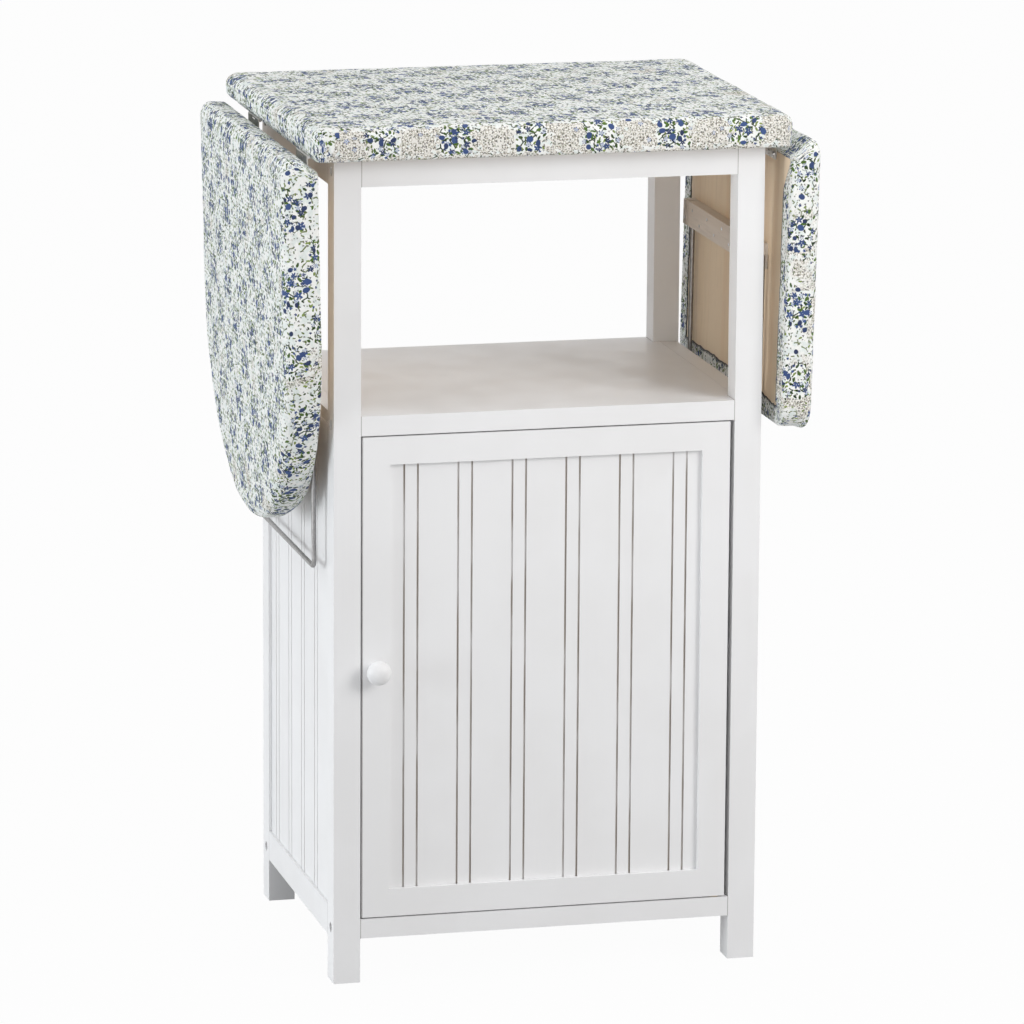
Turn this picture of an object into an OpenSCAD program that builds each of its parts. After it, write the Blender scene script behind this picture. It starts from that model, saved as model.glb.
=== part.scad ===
// Free-standing wooden ironing cabinet with a padded top and two padded drop leaves.
// Millimetres, +Z up, the front is at -Y, the origin is on the floor midway between the posts.

/* [Frame] */
// Width over the posts
frame_w = 440; // [400:1:520]
// Depth over the posts
frame_d = 341; // [300:1:400]
// Height of the posts, which carry the top
frame_h = 843; // [800:1:900]
// Side of the square posts
post = 27.5; // [24:0.5:34]
// Thickness of every rail, measured in from the outside
rail_t = 20; // [16:0.5:22]
// Height of the four rails under the top
top_rail_h = 30; // [24:1:40]
// Height of the shelf surface above the floor
shelf_z = 583; // [540:1:600]
// Thickness of the shelf
shelf_t = 20; // [16:0.5:24]
// Height of the side rails at shelf level
middle_rail_h = 31; // [28:1:40]
// Underside of the front and rear bottom rails
front_rail_z = 46; // [40:1:60]
// Height of the front and rear bottom rails
front_rail_h = 20; // [18:1:30]
// Underside of the side bottom rails
side_rail_z = 45; // [40:1:60]
// Height of the side bottom rails
side_rail_h = 31; // [28:1:40]

/* [Panels] */
// Thickness of the beaded side panels and of the door panel
panel_t = 6; // [5:0.5:8]
// How far the side panels lie behind the outside of the posts
side_recess = 3; // [2:0.5:6]
// Thickness of the back panel
back_t = 3; // [3:0.5:5]
// How far the back panel lies in front of the rear faces
back_recess = 4; // [3:0.5:5]
// Thickness of the cabinet floor
floor_t = 9; // [6:0.5:12]
// Side of the square cleats under the floor
cleat = 11; // [8:0.5:11.5]
// Depth of the grooves that hold the panels
groove_d = 5; // [4:0.5:7]
// Distance between the bead pairs of the door panel
door_bead_pitch = 55.5; // [48:0.5:64]
// Distance between the bead pairs of the side panels
side_bead_pitch = 62; // [48:0.5:70]
// How far back of the middle the side beads are set
side_bead_shift = 19; // [0:1:20]
// Distance between the two grooves of a bead pair
bead_pair = 14; // [10:0.5:18]
// Width of one bead groove
bead_w = 2; // [1.5:0.1:3]
// Depth of one bead groove
bead_depth = 1.6; // [1:0.1:2.4]

/* [Door] */
// Thickness of the door frame
door_t = 18; // [16:0.5:20]
// Gap round the door at the top, the bottom and the knob side
door_gap = 1.5; // [1:0.1:2.5]
// Wider gap at the pivot side, which lets the corner turn
pivot_gap = 4.5; // [4:0.1:6]
// Width of the door stiles and rails
stile_w = 28.5; // [24:0.5:40]
// How far the door panel lies behind the door front
door_recess = 5; // [3:0.5:7]
// Diameter of the knob
knob_d = 25; // [20:0.5:32]
// How far the knob stands out from the door
knob_reach = 23; // [18:0.5:23.5]
// Height of the knob above the floor
knob_z = 324; // [260:1:480]
// Diameter of the two door pivot pins
pivot_d = 6; // [5:0.5:8]
// Length of each pivot pin in the door
pivot_l = 14; // [10:0.5:20]

/* [Ironing top] */
// How far the top reaches past the posts at each end
end_over = 23.5; // [22:0.5:28]
// How far the top and the leaves reach past the posts at the front and the rear
side_over = 24.5; // [20:0.5:30]
// Thickness of the plywood boards
board_t = 12; // [9:0.5:15]
// Height of the padding above the top board
top_pad_t = 21; // [14:0.5:26]
// Height of the padding on the left leaf
left_pad_t = 24; // [14:0.5:26]
// Height of the padding on the right leaf
right_pad_t = 20.5; // [14:0.5:26]
// Height of the crown in the middle of a pad
crown = 3; // [1:0.5:5]
// Thickness of the cover and wadding round the board edges
cover_t = 2.5; // [1.5:0.1:4]
// Width of the cover's hem, turned in under the board
hem_w = 15; // [10:0.5:20]
// Thickness of the hem
hem_t = 0.8; // [0.6:0.1:1.2]
// Plan radius of the ordinary pad corners
pad_corner = 16; // [10:1:24]
// Length of the left leaf
left_leaf_l = 377; // [320:1:384]
// Length of the rounded nose of the left leaf
nose_l = 205; // [120:1:240]
// Length of the right leaf
right_leaf_l = 280; // [240:1:330]
// Plan radius of the right leaf's two free corners
free_corner = 22; // [12:1:40]
// Angle by which a hanging leaf leans in
leaf_lean = 1.3; // [0:0.1:1.5]

/* [Leaf hinges] */
// Distance from the hinge axis to the end of a leaf
hinge_set = 5; // [4.5:0.1:6]
// Length of one hinge along its pin
hinge_l = 50; // [40:1:70]
// Distance from a hinge to the front or rear edge of the pads
hinge_end = 54; // [40:1:90]
// Thickness of a hinge plate
plate_t = 1; // [0.8:0.1:1.2]
// Outer diameter of a hinge knuckle
knuckle_d = 4; // [3.6:0.1:4.4]
// Diameter of a hinge pin
hinge_pin_d = 2; // [1.6:0.1:2.2]

/* [Props] */
// Diameter of the wire props
wire_d = 4.8; // [4:0.1:5.2]
// Distance from a prop's front leg to the face of the front post
prop_front = 20; // [17:0.5:24]
// Distance from a prop's rear leg to the face of the rear post
prop_rear = 4; // [3.5:0.5:10]
// Depth of the raised bar below the shelf surface
seat_depth = 9.3; // [9:0.1:12]
// Distance from the hinge axis to the prop pivot
prop_set = 121; // [118:1:124]
// Width of the batten that carries the prop
batten_w = 26; // [22:1:32]
// Thickness of the batten
batten_t = 12; // [11:0.5:13]
// Inner bend radius of the prop's lower corners
prop_bend = 6; // [5:0.5:12]

/* [Fasteners] */
// Diameter of the frame bolts
bolt_d = 6; // [5:0.5:6]
// Diameter of the bolt heads
bolt_head_d = 9.6; // [9:0.1:10]
// Diameter of the cross nuts
nut_d = 10; // [8:0.5:11]
// Shank diameter of the wood screws
screw_d = 3; // [2.5:0.1:3.5]

/* [Hidden] */
$fn = 48;

// Clearances
panel_fit = 0.2;    // all round a panel in its groove
board_fit = 0.3;    // between a board and what it lies between
shaft_fit = 0.05;   // radial, round pins that turn
bolt_fit = 0.2;     // radial, round bolts, nuts and screws
leaf_gap = 0.5;     // between the ends of two raised pads
knuckle_gap = 0.3;  // between neighbouring knuckles
catch_gap = 0.3;    // between the catch and its strike plate
frame_fit = 0.6;    // between the fixed hinge plates and the frame
plate_slot = 0.3;   // between a knuckle and the plate of the other leaf
plate_weld = 0.1;   // how far a plate's tongue runs into its knuckle
prop_free = 0.6;    // degrees by which a hanging prop leans in less than its leaf

// Frame
half_w = frame_w / 2;
half_d = frame_d / 2;
bay_w = frame_w - 2 * post;        // between the posts, across
bay_d = frame_d - 2 * post;        // between the posts, front to back
rail_in_x = half_w - rail_t;
rail_in_y = half_d - rail_t;
shelf_under = shelf_z - shelf_t;
middle_z = shelf_z - middle_rail_h;
top_rail_z = frame_h - top_rail_h;
front_rail_top = front_rail_z + front_rail_h;
side_rail_top = side_rail_z + side_rail_h;
floor_top = front_rail_top;
cleat_in = 10;                     // from a post to the end of a cleat
tongue = groove_d - 0.5;           // how far a panel reaches into its groove

// Bolts: each joins a post to the end of a front or rear member
bolt_y = half_d - post / 2;
bolt_levels = [front_rail_z + front_rail_h / 2, shelf_under + shelf_t / 2, top_rail_z + top_rail_h / 2];
bolt_sink = 8;
bolt_head_h = 5;
nut_in = 24;                       // from the end of the member to the nut
bolt_end = 32;                     // depth of the bolt bore in the member
nut_l = 12;

// Door
door_left = -bay_w / 2 + door_gap;
door_right = bay_w / 2 - pivot_gap;
door_low = front_rail_top + door_gap;
door_high = shelf_under - door_gap;
door_back = -half_d + door_t;
pivot_x = door_right - door_t / 2;
pivot_y = -half_d + door_t / 2;
pivot_low = front_rail_h / 2 - bolt_d / 2 - 1;    // depth of the lower pin in the rail
pivot_high = shelf_t / 2 - bolt_d / 2 - 1;        // depth of the upper pin in the shelf
knob_x = door_left + stile_w / 2;
knob_bore_d = 4;
knob_screw_in = 11;      // how far the knob's screw reaches into it
catch_w = 40;
catch_d = 13;
catch_h = 12;
catch_x = door_left + stile_w + catch_w / 2 + 6;
strike_t = 1;

// Ironing top: the plane of the hems is what the hinges lie on
top_l = frame_w + 2 * end_over;
top_w = frame_d + 2 * side_over;
top_screw_in = 82.5;               // from a post to the nearest screw of the top board
hem_z = frame_h - hem_t;
pad_edge = 10;                     // from a pad's side to its flat face
knuckle_r = knuckle_d / 2;
axis_x = top_l / 2 + leaf_gap - hinge_set;
axis_z = hem_z - knuckle_r;
board_low = knuckle_r + hem_t;     // underside of a leaf's board above the hinge axis
plate_in = half_w + frame_fit;     // inner edge of the fixed plates
plate_edge = 4.5;                  // from a plate's long edge to its screws
plate_reach = 14;                  // a leaf plate's reach over the leaf
plate_l = axis_x - plate_in;
fixed_screw_x = plate_in + plate_edge;
leaf_plate_l = hinge_set + plate_reach;
leaf_screw_x = hinge_set + plate_reach - plate_edge;
knuckle_l = (hinge_l - 2 * knuckle_gap) / 3;
hinge_y = top_w / 2 - hinge_end - hinge_l / 2;
hinge_pitch = hinge_l * 0.34;      // between the screws of one plate
screw_head_d = 5.4;
screw_head_h = 1.4;
screw_l = 9;

// Props: raised, the bar lies in the rebate of the side rail at shelf level
prop_drop = knuckle_r + hem_t - batten_t / 2;   // prop pivot above the hinge axis
prop_lean = max(0, leaf_lean - prop_free);
wire_r = wire_d / 2;
bar_x = half_w + 0.5;              // the raised bar's centre
bar_z = shelf_z - seat_depth;
bar_reach = axis_x + prop_set - bar_x;
bar_fall = axis_z + prop_drop - bar_z;
prop_swing = atan(bar_reach / bar_fall);        // the raised prop leans in by this much
prop_l = norm([bar_reach, bar_fall]);
prop_half = (bay_d - prop_front - prop_rear) / 2;
prop_mid = (prop_front - prop_rear) / 2;          // the middle of a prop lies this much to the rear
leg_fit = 0.6;                     // beside a leg, to the batten
batten_end = 16;                   // from the rear leg to the batten's end
batten_front = prop_mid - prop_half + wire_r + leg_fit;
batten_rear = prop_mid + prop_half + batten_end;
notch_w = wire_d + 2 * leg_fit;
prop_pin_l = 20;
lip_gap = 1.15;
lip_x = bar_x - (wire_r + lip_gap) * sin(prop_swing);
lip_z = bar_z - (wire_r + lip_gap) * cos(prop_swing);
lip_slope = 2.3;                   // the lip is chamfered along the bar's way in
rebate_x = bar_x - wire_r - 0.4;

// Battens: nails in a zigzag
nail_pitch = 28;
nail_clear = 6.5;                  // from a notch to the nail beside it
nail_head_d = 3.2;
nail_head_h = 0.6;
nail_d = 1.6;
nail_l = 18;

nail_outer = prop_half + notch_w / 2 + nail_clear;
nails_inner = floor((prop_half - notch_w / 2 - nail_clear) / nail_pitch);
nail_ys = concat(
  [nail_outer],
  [for (i = [-nails_inner : nails_inner]) i * nail_pitch]);
nail_aside = batten_w * 0.22;      // from the batten's middle line
nail_spots = [
  for (i = [0 : len(nail_ys) - 1])
    [prop_set + (i % 2 == 0 ? 1 : -1) * nail_aside, prop_mid + nail_ys[i]]];

// Plan outline of a pad or board from x0 to x1: four quarter-ellipse corners, drawn in by inset
function quarter(cx, cy, ex, ey, from, steps, last) =
  [for (i = [0 : last]) let (t = from + 90 * i / steps) [cx + ex * cos(t), cy + ey * sin(t)]];

function plan(x0, x1, near, far, steps, inset) =
  let (
    half = top_w / 2 - inset,
    nx = near[0] - inset, ny = near[1] - inset,
    fx = far[0] - inset, fy = far[1] - inset,
    pointed = top_w / 2 - far[1] < 0.01)
  concat(
    quarter(x1 - inset - fx, half - fy, fx, fy, 0, steps, steps),
    quarter(x0 + inset + nx, half - ny, nx, ny, 90, 6, 6),
    quarter(x0 + inset + nx, ny - half, nx, ny, 180, 6, 6),
    quarter(x1 - inset - fx, fy - half, fx, fy, 270, steps, pointed ? steps - 1 : steps));

function at_height(points, z) = [for (p = points) [p[0], p[1], z]];

function shrunk(points, cx, share) = [for (p = points) [cx + (p[0] - cx) * share, p[1] * share]];

// A closed skin of rings from one centre point to the other, in triangles
module ringed(first, rings, end) {
  n = len(rings[0]);
  m = len(rings);
  points = concat([first], [for (r = rings) for (p = r) p], [end]);
  fan_low = [for (i = [0 : n - 1]) [0, 1 + i, 1 + (i + 1) % n]];
  fan_high = [for (i = [0 : n - 1]) [1 + m * n, 1 + (m - 1) * n + (i + 1) % n, 1 + (m - 1) * n + i]];
  bands = [for (k = [0 : m - 2]) for (i = [0 : n - 1]) for (half = [0, 1])
    let (a = 1 + k * n + i, b = 1 + k * n + (i + 1) % n)
    half == 0 ? [a, a + n, b] : [b, a + n, b + n]];
  polyhedron(points, concat(fan_low, bands, fan_high));
}

// A pad: hem and board pocket below, rounded sides that draw in, and a crowned face.
// Its hem lies at z = 0 and its board from hem_t to hem_t + board_t.
module pad(x0, x1, near, far, steps, padding) {
  cx = (x0 + x1) / 2;
  high = hem_t + board_t + padding;
  profile = [
    [cover_t, hem_t + board_t], [cover_t, hem_t], [hem_w, hem_t], [hem_w, 0],
    [3.5, 0], [1.5, 2.5], [0.4, 8], [0, high / 2], [0.6, high - 8],
    [2.4, high - 3.2], [5.6, high - 0.9], [pad_edge, high]];
  face = plan(x0, x1, near, far, steps, pad_edge);
  ringed(
    [cx, 0, hem_t + board_t],
    concat(
      [for (p = profile) at_height(plan(x0, x1, near, far, steps, p[0]), p[1])],
      [for (s = [0.75, 0.5, 0.25]) at_height(shrunk(face, cx, s), high + crown * (1 - s * s))]),
    [cx, 0, high + crown]);
}

module board(x0, x1, near, far, steps) {
  translate([0, 0, hem_t])
    linear_extrude(board_t)
      polygon(plan(x0, x1, near, far, steps, cover_t + board_fit));
}

// Leaf frame: X runs out along the raised leaf, Z up, the hinge axis is Y through the origin
module hung(side, lean) {
  mirror([side < 0 ? 1 : 0, 0, 0])
    translate([axis_x, 0, axis_z])
      rotate([0, 90 + lean, 0])
        children();
}

leaf_near = [pad_corner, pad_corner];
left_far = [nose_l, top_w / 2];
right_far = [free_corner, free_corner];
square_far = [pad_corner, pad_corner];
nose_steps = 20;
corner_steps = 8;

// Boxes given by their two corners
module block(low, high) {
  translate(low)
    cube(high - low);
}

module bore_x(x0, x1, y, z, d) {
  translate([x0, y, z])
    rotate([0, 90, 0])
      cylinder(h = x1 - x0, d = d);
}

module bore_y(x, y0, y1, z, d) {
  translate([x, y0, z])
    rotate([-90, 0, 0])
      cylinder(h = y1 - y0, d = d);
}

module bore_z(x, y, z0, z1, d) {
  translate([x, y, z0])
    cylinder(h = z1 - z0, d = d);
}

module mirrored_x() {
  children();
  mirror([1, 0, 0]) children();
}

module mirrored_y() {
  children();
  mirror([0, 1, 0]) children();
}

// ---- Frame ----

// The post at +X +Y, with its panel grooves and bolt holes
module rear_post() {
  panel_x = half_w - side_recess - panel_t;
  difference() {
    block([half_w - post, half_d - post, 0], [half_w, half_d, frame_h]);
    block([panel_x - panel_fit, half_d - post - 1, side_rail_top - groove_d],
          [panel_x + panel_t + panel_fit, half_d - post + groove_d, middle_z + groove_d]);
    block([half_w - post - 1, half_d - back_recess - back_t - panel_fit, front_rail_top - groove_d],
          [half_w - post + groove_d, half_d - back_recess + panel_fit, shelf_under + groove_d]);
    post_bores();
  }
}

module front_post() {
  panel_x = half_w - side_recess - panel_t;
  difference() {
    block([half_w - post, -half_d, 0], [half_w, post - half_d, frame_h]);
    block([panel_x - panel_fit, post - half_d - groove_d, side_rail_top - groove_d],
          [panel_x + panel_t + panel_fit, post - half_d + 1, middle_z + groove_d]);
    mirror([0, 1, 0]) post_bores();
  }
}

module post_bores() {
  for (z = bolt_levels) {
    bore_x(half_w - post - 1, half_w + 1, bolt_y, z, bolt_d + 2 * bolt_fit);
    bore_x(half_w - bolt_sink, half_w + 1, bolt_y, z, bolt_head_d + 2 * bolt_fit);
  }
}

// Bolt and nut bores in both ends of a front or rear member
module member_bores(z, from_below) {
  mirrored_x() {
    bore_x(bay_w / 2 - bolt_end, bay_w / 2 + 1, bolt_y, z, bolt_d + 2 * bolt_fit);
    if (from_below)
      bore_z(bay_w / 2 - nut_in, bolt_y, z - shelf_t / 2 - 1, z + nut_l / 2, nut_d + 2 * bolt_fit);
    else
      bore_y(bay_w / 2 - nut_in, half_d - rail_t - 1, bolt_y + nut_l / 2, z, nut_d + 2 * bolt_fit);
  }
}

module rear_rail(z0, height) {
  difference() {
    block([-bay_w / 2, half_d - rail_t, z0], [bay_w / 2, half_d, z0 + height]);
    member_bores(z0 + height / 2, false);
  }
}

module front_left_post() {
  color("white") mirror([1, 0, 0]) front_post();
}

module front_right_post() {
  color("white") front_post();
}

module rear_left_post() {
  color("white") mirror([1, 0, 0]) rear_post();
}

module rear_right_post() {
  color("white") rear_post();
}

// Places of the screws that hold the top board, as [x, y]
top_screw_spots = [
  for (x = [-1, 1]) for (y = [-1, 1]) [x * (bay_w / 2 - top_screw_in), y * (half_d - rail_t / 2)],
  for (x = [-1, 1]) [x * (half_w - rail_t / 2), 0]];
top_screw_sink = 12;

module top_screw_bores() {
  for (p = top_screw_spots) {
    bore_z(p[0], p[1], top_rail_z - 1, frame_h + 1, screw_d + 2 * bolt_fit);
    bore_z(p[0], p[1], top_rail_z - 1, top_rail_z + top_screw_sink, screw_head_d + 2 * bolt_fit);
  }
}

module front_top_rail() {
  color("white")
    difference() {
      mirror([0, 1, 0]) rear_rail(top_rail_z, top_rail_h);
      top_screw_bores();
    }
}

module rear_top_rail() {
  color("white")
    difference() {
      rear_rail(top_rail_z, top_rail_h);
      top_screw_bores();
    }
}

module side_top_rail() {
  difference() {
    block([rail_in_x, -bay_d / 2, top_rail_z], [half_w, bay_d / 2, frame_h]);
    top_screw_bores();
  }
}

module left_top_rail() {
  color("white") mirror([1, 0, 0]) side_top_rail();
}

module right_top_rail() {
  color("white") side_top_rail();
}

// A board that fills the frame's inside, cut away round the posts
module notched(reach_y, z0, z1) {
  difference() {
    block([board_fit - rail_in_x, -reach_y, z0], [rail_in_x - board_fit, reach_y, z1]);
    mirrored_x()
      mirrored_y()
        block([bay_w / 2 - board_fit, bay_d / 2 - board_fit, z0 - 1], [half_w, half_d + 1, z1 + 1]);
  }
}

module shelf() {
  color("white")
    difference() {
      union() {
        notched(half_d, shelf_under, shelf_z);
        mirrored_y()
          block([-bay_w / 2, half_d - rail_t, shelf_under], [bay_w / 2, half_d, shelf_z]);
      }
      member_bores(shelf_under + shelf_t / 2, true);
      mirror([0, 1, 0]) member_bores(shelf_under + shelf_t / 2, true);
      block([-bay_w / 2 - 1, half_d - back_recess - back_t - panel_fit, shelf_under - 1],
            [bay_w / 2 + 1, half_d - back_recess + panel_fit, shelf_under + groove_d]);
      bore_z(pivot_x, pivot_y, shelf_under - 1, shelf_under + pivot_high, pivot_d + 2 * shaft_fit);
      catch_screw_bores(shelf_under - 1, shelf_under + screw_l);
    }
}

// Side rail at shelf level: its rebate takes the raised prop's bar
module side_middle_rail() {
  difference() {
    rotate([90, 0, 0])
      linear_extrude(bay_d, center = true)
        polygon([
          [rail_in_x, middle_z], [half_w, middle_z],
          [half_w, lip_z - (half_w - lip_x) * lip_slope], [lip_x, lip_z],
          [rebate_x, lip_z], [rebate_x, shelf_z], [rail_in_x, shelf_z]]);
    block([half_w - side_recess - panel_t - panel_fit, -half_d, middle_z - 1],
          [half_w - side_recess + panel_fit, half_d, middle_z + groove_d]);
  }
}

module left_middle_rail() {
  color("white") mirror([1, 0, 0]) side_middle_rail();
}

module right_middle_rail() {
  color("white") side_middle_rail();
}

module front_bottom_rail() {
  color("white")
    difference() {
      mirror([0, 1, 0]) rear_rail(front_rail_z, front_rail_h);
      bore_z(pivot_x, pivot_y, front_rail_top - pivot_low, front_rail_top + 1, pivot_d + 2 * shaft_fit);
    }
}

module rear_bottom_rail() {
  color("white")
    difference() {
      rear_rail(front_rail_z, front_rail_h);
      block([-bay_w / 2 - 1, half_d - back_recess - back_t - panel_fit, front_rail_top - groove_d],
            [bay_w / 2 + 1, half_d - back_recess + panel_fit, front_rail_top + 1]);
    }
}

module side_bottom_rail() {
  difference() {
    block([rail_in_x, -bay_d / 2, side_rail_z], [half_w, bay_d / 2, side_rail_top]);
    block([half_w - side_recess - panel_t - panel_fit, -half_d, side_rail_top - groove_d],
          [half_w - side_recess + panel_fit, half_d, side_rail_top + 1]);
  }
}

module left_bottom_rail() {
  color("white") mirror([1, 0, 0]) side_bottom_rail();
}

module right_bottom_rail() {
  color("white") side_bottom_rail();
}

module side_panel() {
  outer = half_w - side_recess;
  reach = bay_d / 2 + tongue;
  beads = floor((bay_d / 2) / side_bead_pitch + 0.5);
  difference() {
    block([outer - panel_t, -reach, side_rail_top - tongue], [outer, reach, middle_z + tongue]);
    for (i = [-beads : beads - 1])
      for (s = [-1, 1]) {
        y = (i + 0.5) * side_bead_pitch + side_bead_shift + s * bead_pair / 2;
        if (abs(y) < bay_d / 2 - bead_w)
          block([outer - bead_depth, y - bead_w / 2, side_rail_z], [outer + 1, y + bead_w / 2, shelf_z]);
      }
  }
}

module left_side_panel() {
  color("white") mirror([1, 0, 0]) side_panel();
}

module right_side_panel() {
  color("white") side_panel();
}

module back_panel() {
  color("white")
    block([-bay_w / 2 - tongue, half_d - back_recess - back_t, front_rail_top - tongue],
          [bay_w / 2 + tongue, half_d - back_recess, shelf_under + tongue]);
}

module floor_board() {
  color("white") notched(rail_in_y - board_fit, floor_top - floor_t, floor_top);
}

module floor_cleats() {
  color("white")
    mirrored_x()
      block([rail_in_x - cleat, -bay_d / 2 + cleat_in, floor_top - floor_t - cleat],
            [rail_in_x, bay_d / 2 - cleat_in, floor_top - floor_t]);
}

module frame_bolt(z) {
  bore_x(half_w - bolt_sink, half_w - bolt_sink + bolt_head_h, bolt_y, z, bolt_head_d);
  bore_x(bay_w / 2 - bolt_end + 1, half_w - bolt_sink, bolt_y, z, bolt_d);
}

module frame_bolts() {
  color("dimgray")
    mirrored_x()
      mirrored_y()
        for (z = bolt_levels)
          frame_bolt(z);
}

module cross_nuts() {
  color("silver")
    mirrored_x()
      mirrored_y()
        for (i = [0 : 2])
          difference() {
            if (i == 1)
              bore_z(
                bay_w / 2 - nut_in, bolt_y,
                bolt_levels[i] - nut_l / 2, bolt_levels[i] + nut_l / 2, nut_d);
            else
              bore_y(bay_w / 2 - nut_in, bolt_y - nut_l / 2, bolt_y + nut_l / 2, bolt_levels[i], nut_d);
            bore_x(bay_w / 2 - nut_in - nut_d, bay_w / 2, bolt_y, bolt_levels[i], bolt_d + 2 * shaft_fit);
          }
}

// ---- Ironing top ----

module wood_screw(shank) {
  translate([0, 0, -screw_head_h])
    cylinder(h = screw_head_h, d = screw_head_d);
  cylinder(h = shank, d = screw_d);
}

module top_board() {
  color("burlywood")
    difference() {
      translate([0, 0, hem_z])
        board(-top_l / 2, top_l / 2, leaf_near, square_far, corner_steps);
      for (p = top_screw_spots)
        bore_z(p[0], p[1], frame_h - 1, frame_h + screw_l + 1, screw_d + 2 * bolt_fit);
      mirrored_x()
        for (p = hinge_screw_ys)
          bore_z(fixed_screw_x, p, frame_h - 1, frame_h + screw_l, screw_d + 2 * bolt_fit);
    }
}

module top_pad() {
  color("lightsteelblue")
    translate([0, 0, hem_z])
      pad(-top_l / 2, top_l / 2, leaf_near, square_far, corner_steps, top_pad_t);
}

module top_screws() {
  color("silver")
    for (p = top_screw_spots)
      translate([p[0], p[1], top_rail_z + top_screw_sink])
        wood_screw(top_rail_h - top_screw_sink + screw_l);
}

// Hinge plates in the leaf frame: the knuckles turn on the Y axis
hinge_screw_ys = [for (s = [-1, 1]) for (t = [-1, 0, 1]) s * hinge_y + t * hinge_pitch];

module hinge_pin() {
  bore_y(0, -hinge_l / 2, hinge_l / 2, 0, hinge_pin_d);
}

module knuckle(y0, y1) {
  difference() {
    bore_y(0, y0, y1, 0, knuckle_d);
    bore_y(0, y0 - 1, y1 + 1, 0, hinge_pin_d + 2 * shaft_fit);
  }
}

module fixed_hinge() {
  knuckle(-knuckle_l / 2, knuckle_l / 2);
  difference() {
    union() {
      block(
        [-plate_l, -hinge_l / 2, knuckle_r - plate_t],
        [-knuckle_r - plate_slot, hinge_l / 2, knuckle_r]);
      block([-knuckle_d, -knuckle_l / 2, knuckle_r - plate_t], [0, knuckle_l / 2, knuckle_r]);
    }
    bore_y(0, -knuckle_l, knuckle_l, 0, knuckle_d - 2 * plate_weld);
    hinge_holes(fixed_screw_x - axis_x);
  }
}

module leaf_hinge() {
  for (s = [-1, 1])
    mirror([0, s < 0 ? 1 : 0, 0]) {
      knuckle(knuckle_l / 2 + knuckle_gap, hinge_l / 2);
      difference() {
        block([0, knuckle_l / 2 + knuckle_gap, knuckle_r - plate_t], [knuckle_d, hinge_l / 2, knuckle_r]);
        bore_y(0, 0, hinge_l, 0, knuckle_d - 2 * plate_weld);
      }
    }
  difference() {
    block(
      [knuckle_r + plate_slot, -hinge_l / 2, knuckle_r - plate_t],
      [leaf_plate_l, hinge_l / 2, knuckle_r]);
    hinge_holes(leaf_screw_x);
  }
}

module hinge_holes(x) {
  for (t = [-1, 0, 1])
    bore_z(x, t * hinge_pitch, -knuckle_d, knuckle_d, screw_d + 2 * bolt_fit);
}

module both_hinges() {
  for (s = [-1, 1])
    translate([0, s * hinge_y, 0])
      children();
}

module at_axis(side) {
  mirror([side < 0 ? 1 : 0, 0, 0])
    translate([axis_x, 0, axis_z])
      children();
}

module left_fixed_hinges() {
  color("silver") at_axis(-1) both_hinges() fixed_hinge();
}

module right_fixed_hinges() {
  color("silver") at_axis(1) both_hinges() fixed_hinge();
}

module left_hinge_pins() {
  color("gray") at_axis(-1) both_hinges() hinge_pin();
}

module right_hinge_pins() {
  color("gray") at_axis(1) both_hinges() hinge_pin();
}

module fixed_hinge_screws() {
  color("silver")
    for (side = [-1, 1])
      at_axis(side)
        for (y = hinge_screw_ys)
          translate([fixed_screw_x - axis_x, y, knuckle_r - plate_t])
            wood_screw(plate_t + hem_t + screw_l - 2);
}

module leaf_board(side, length, far, steps) {
  hung(side, leaf_lean)
    difference() {
      translate([0, 0, knuckle_r])
        board(hinge_set, hinge_set + length, leaf_near, far, steps);
      for (y = hinge_screw_ys)
        bore_z(leaf_screw_x, y, 0, board_low + screw_l, screw_d + 2 * bolt_fit);
      for (p = nail_spots)
        bore_z(p[0], p[1], 0, board_low - batten_t + nail_l + 1, nail_d + 0.2);
    }
}

// The hinge screws pass through the hem
module leaf_pad(side, length, far, steps, padding) {
  hung(side, leaf_lean)
    difference() {
      translate([0, 0, knuckle_r])
        pad(hinge_set, hinge_set + length, leaf_near, far, steps, padding);
      for (y = hinge_screw_ys)
        bore_z(leaf_screw_x, y, 0, board_low + bolt_fit, screw_d + 2 * bolt_fit);
    }
}

module leaf_batten(side) {
  hung(side, leaf_lean)
    difference() {
      block([prop_set - batten_w / 2, batten_front, board_low - batten_t],
            [prop_set + batten_w / 2, batten_rear, board_low]);
      translate([0, prop_mid, 0]) {
        block([prop_set - batten_w, prop_half - notch_w / 2, -batten_t],
              [prop_set + batten_w, prop_half + notch_w / 2, board_low - 2]);
        mirrored_y()
          bore_y(prop_set, prop_half - prop_pin_l - 1, prop_half, prop_drop, wire_d + 2 * shaft_fit);
      }
      for (p = nail_spots)
        bore_z(p[0], p[1], -batten_t, board_low + 1, nail_d + 0.2);
    }
}

module batten_nails(side) {
  hung(side, leaf_lean)
    for (p = nail_spots)
      translate([p[0], p[1], board_low - batten_t]) {
        translate([0, 0, -nail_head_h])
          cylinder(h = nail_head_h, d = nail_head_d, $fn = 24);
        cylinder(h = nail_l, d = nail_d, $fn = 24);
      }
}

module leaf_hinges(side) {
  hung(side, leaf_lean)
    both_hinges()
      leaf_hinge();
}

module leaf_hinge_screws(side) {
  hung(side, leaf_lean)
    for (y = hinge_screw_ys)
      translate([leaf_screw_x, y, knuckle_r - plate_t])
        wood_screw(plate_t + hem_t + screw_l - 2);
}

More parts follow.
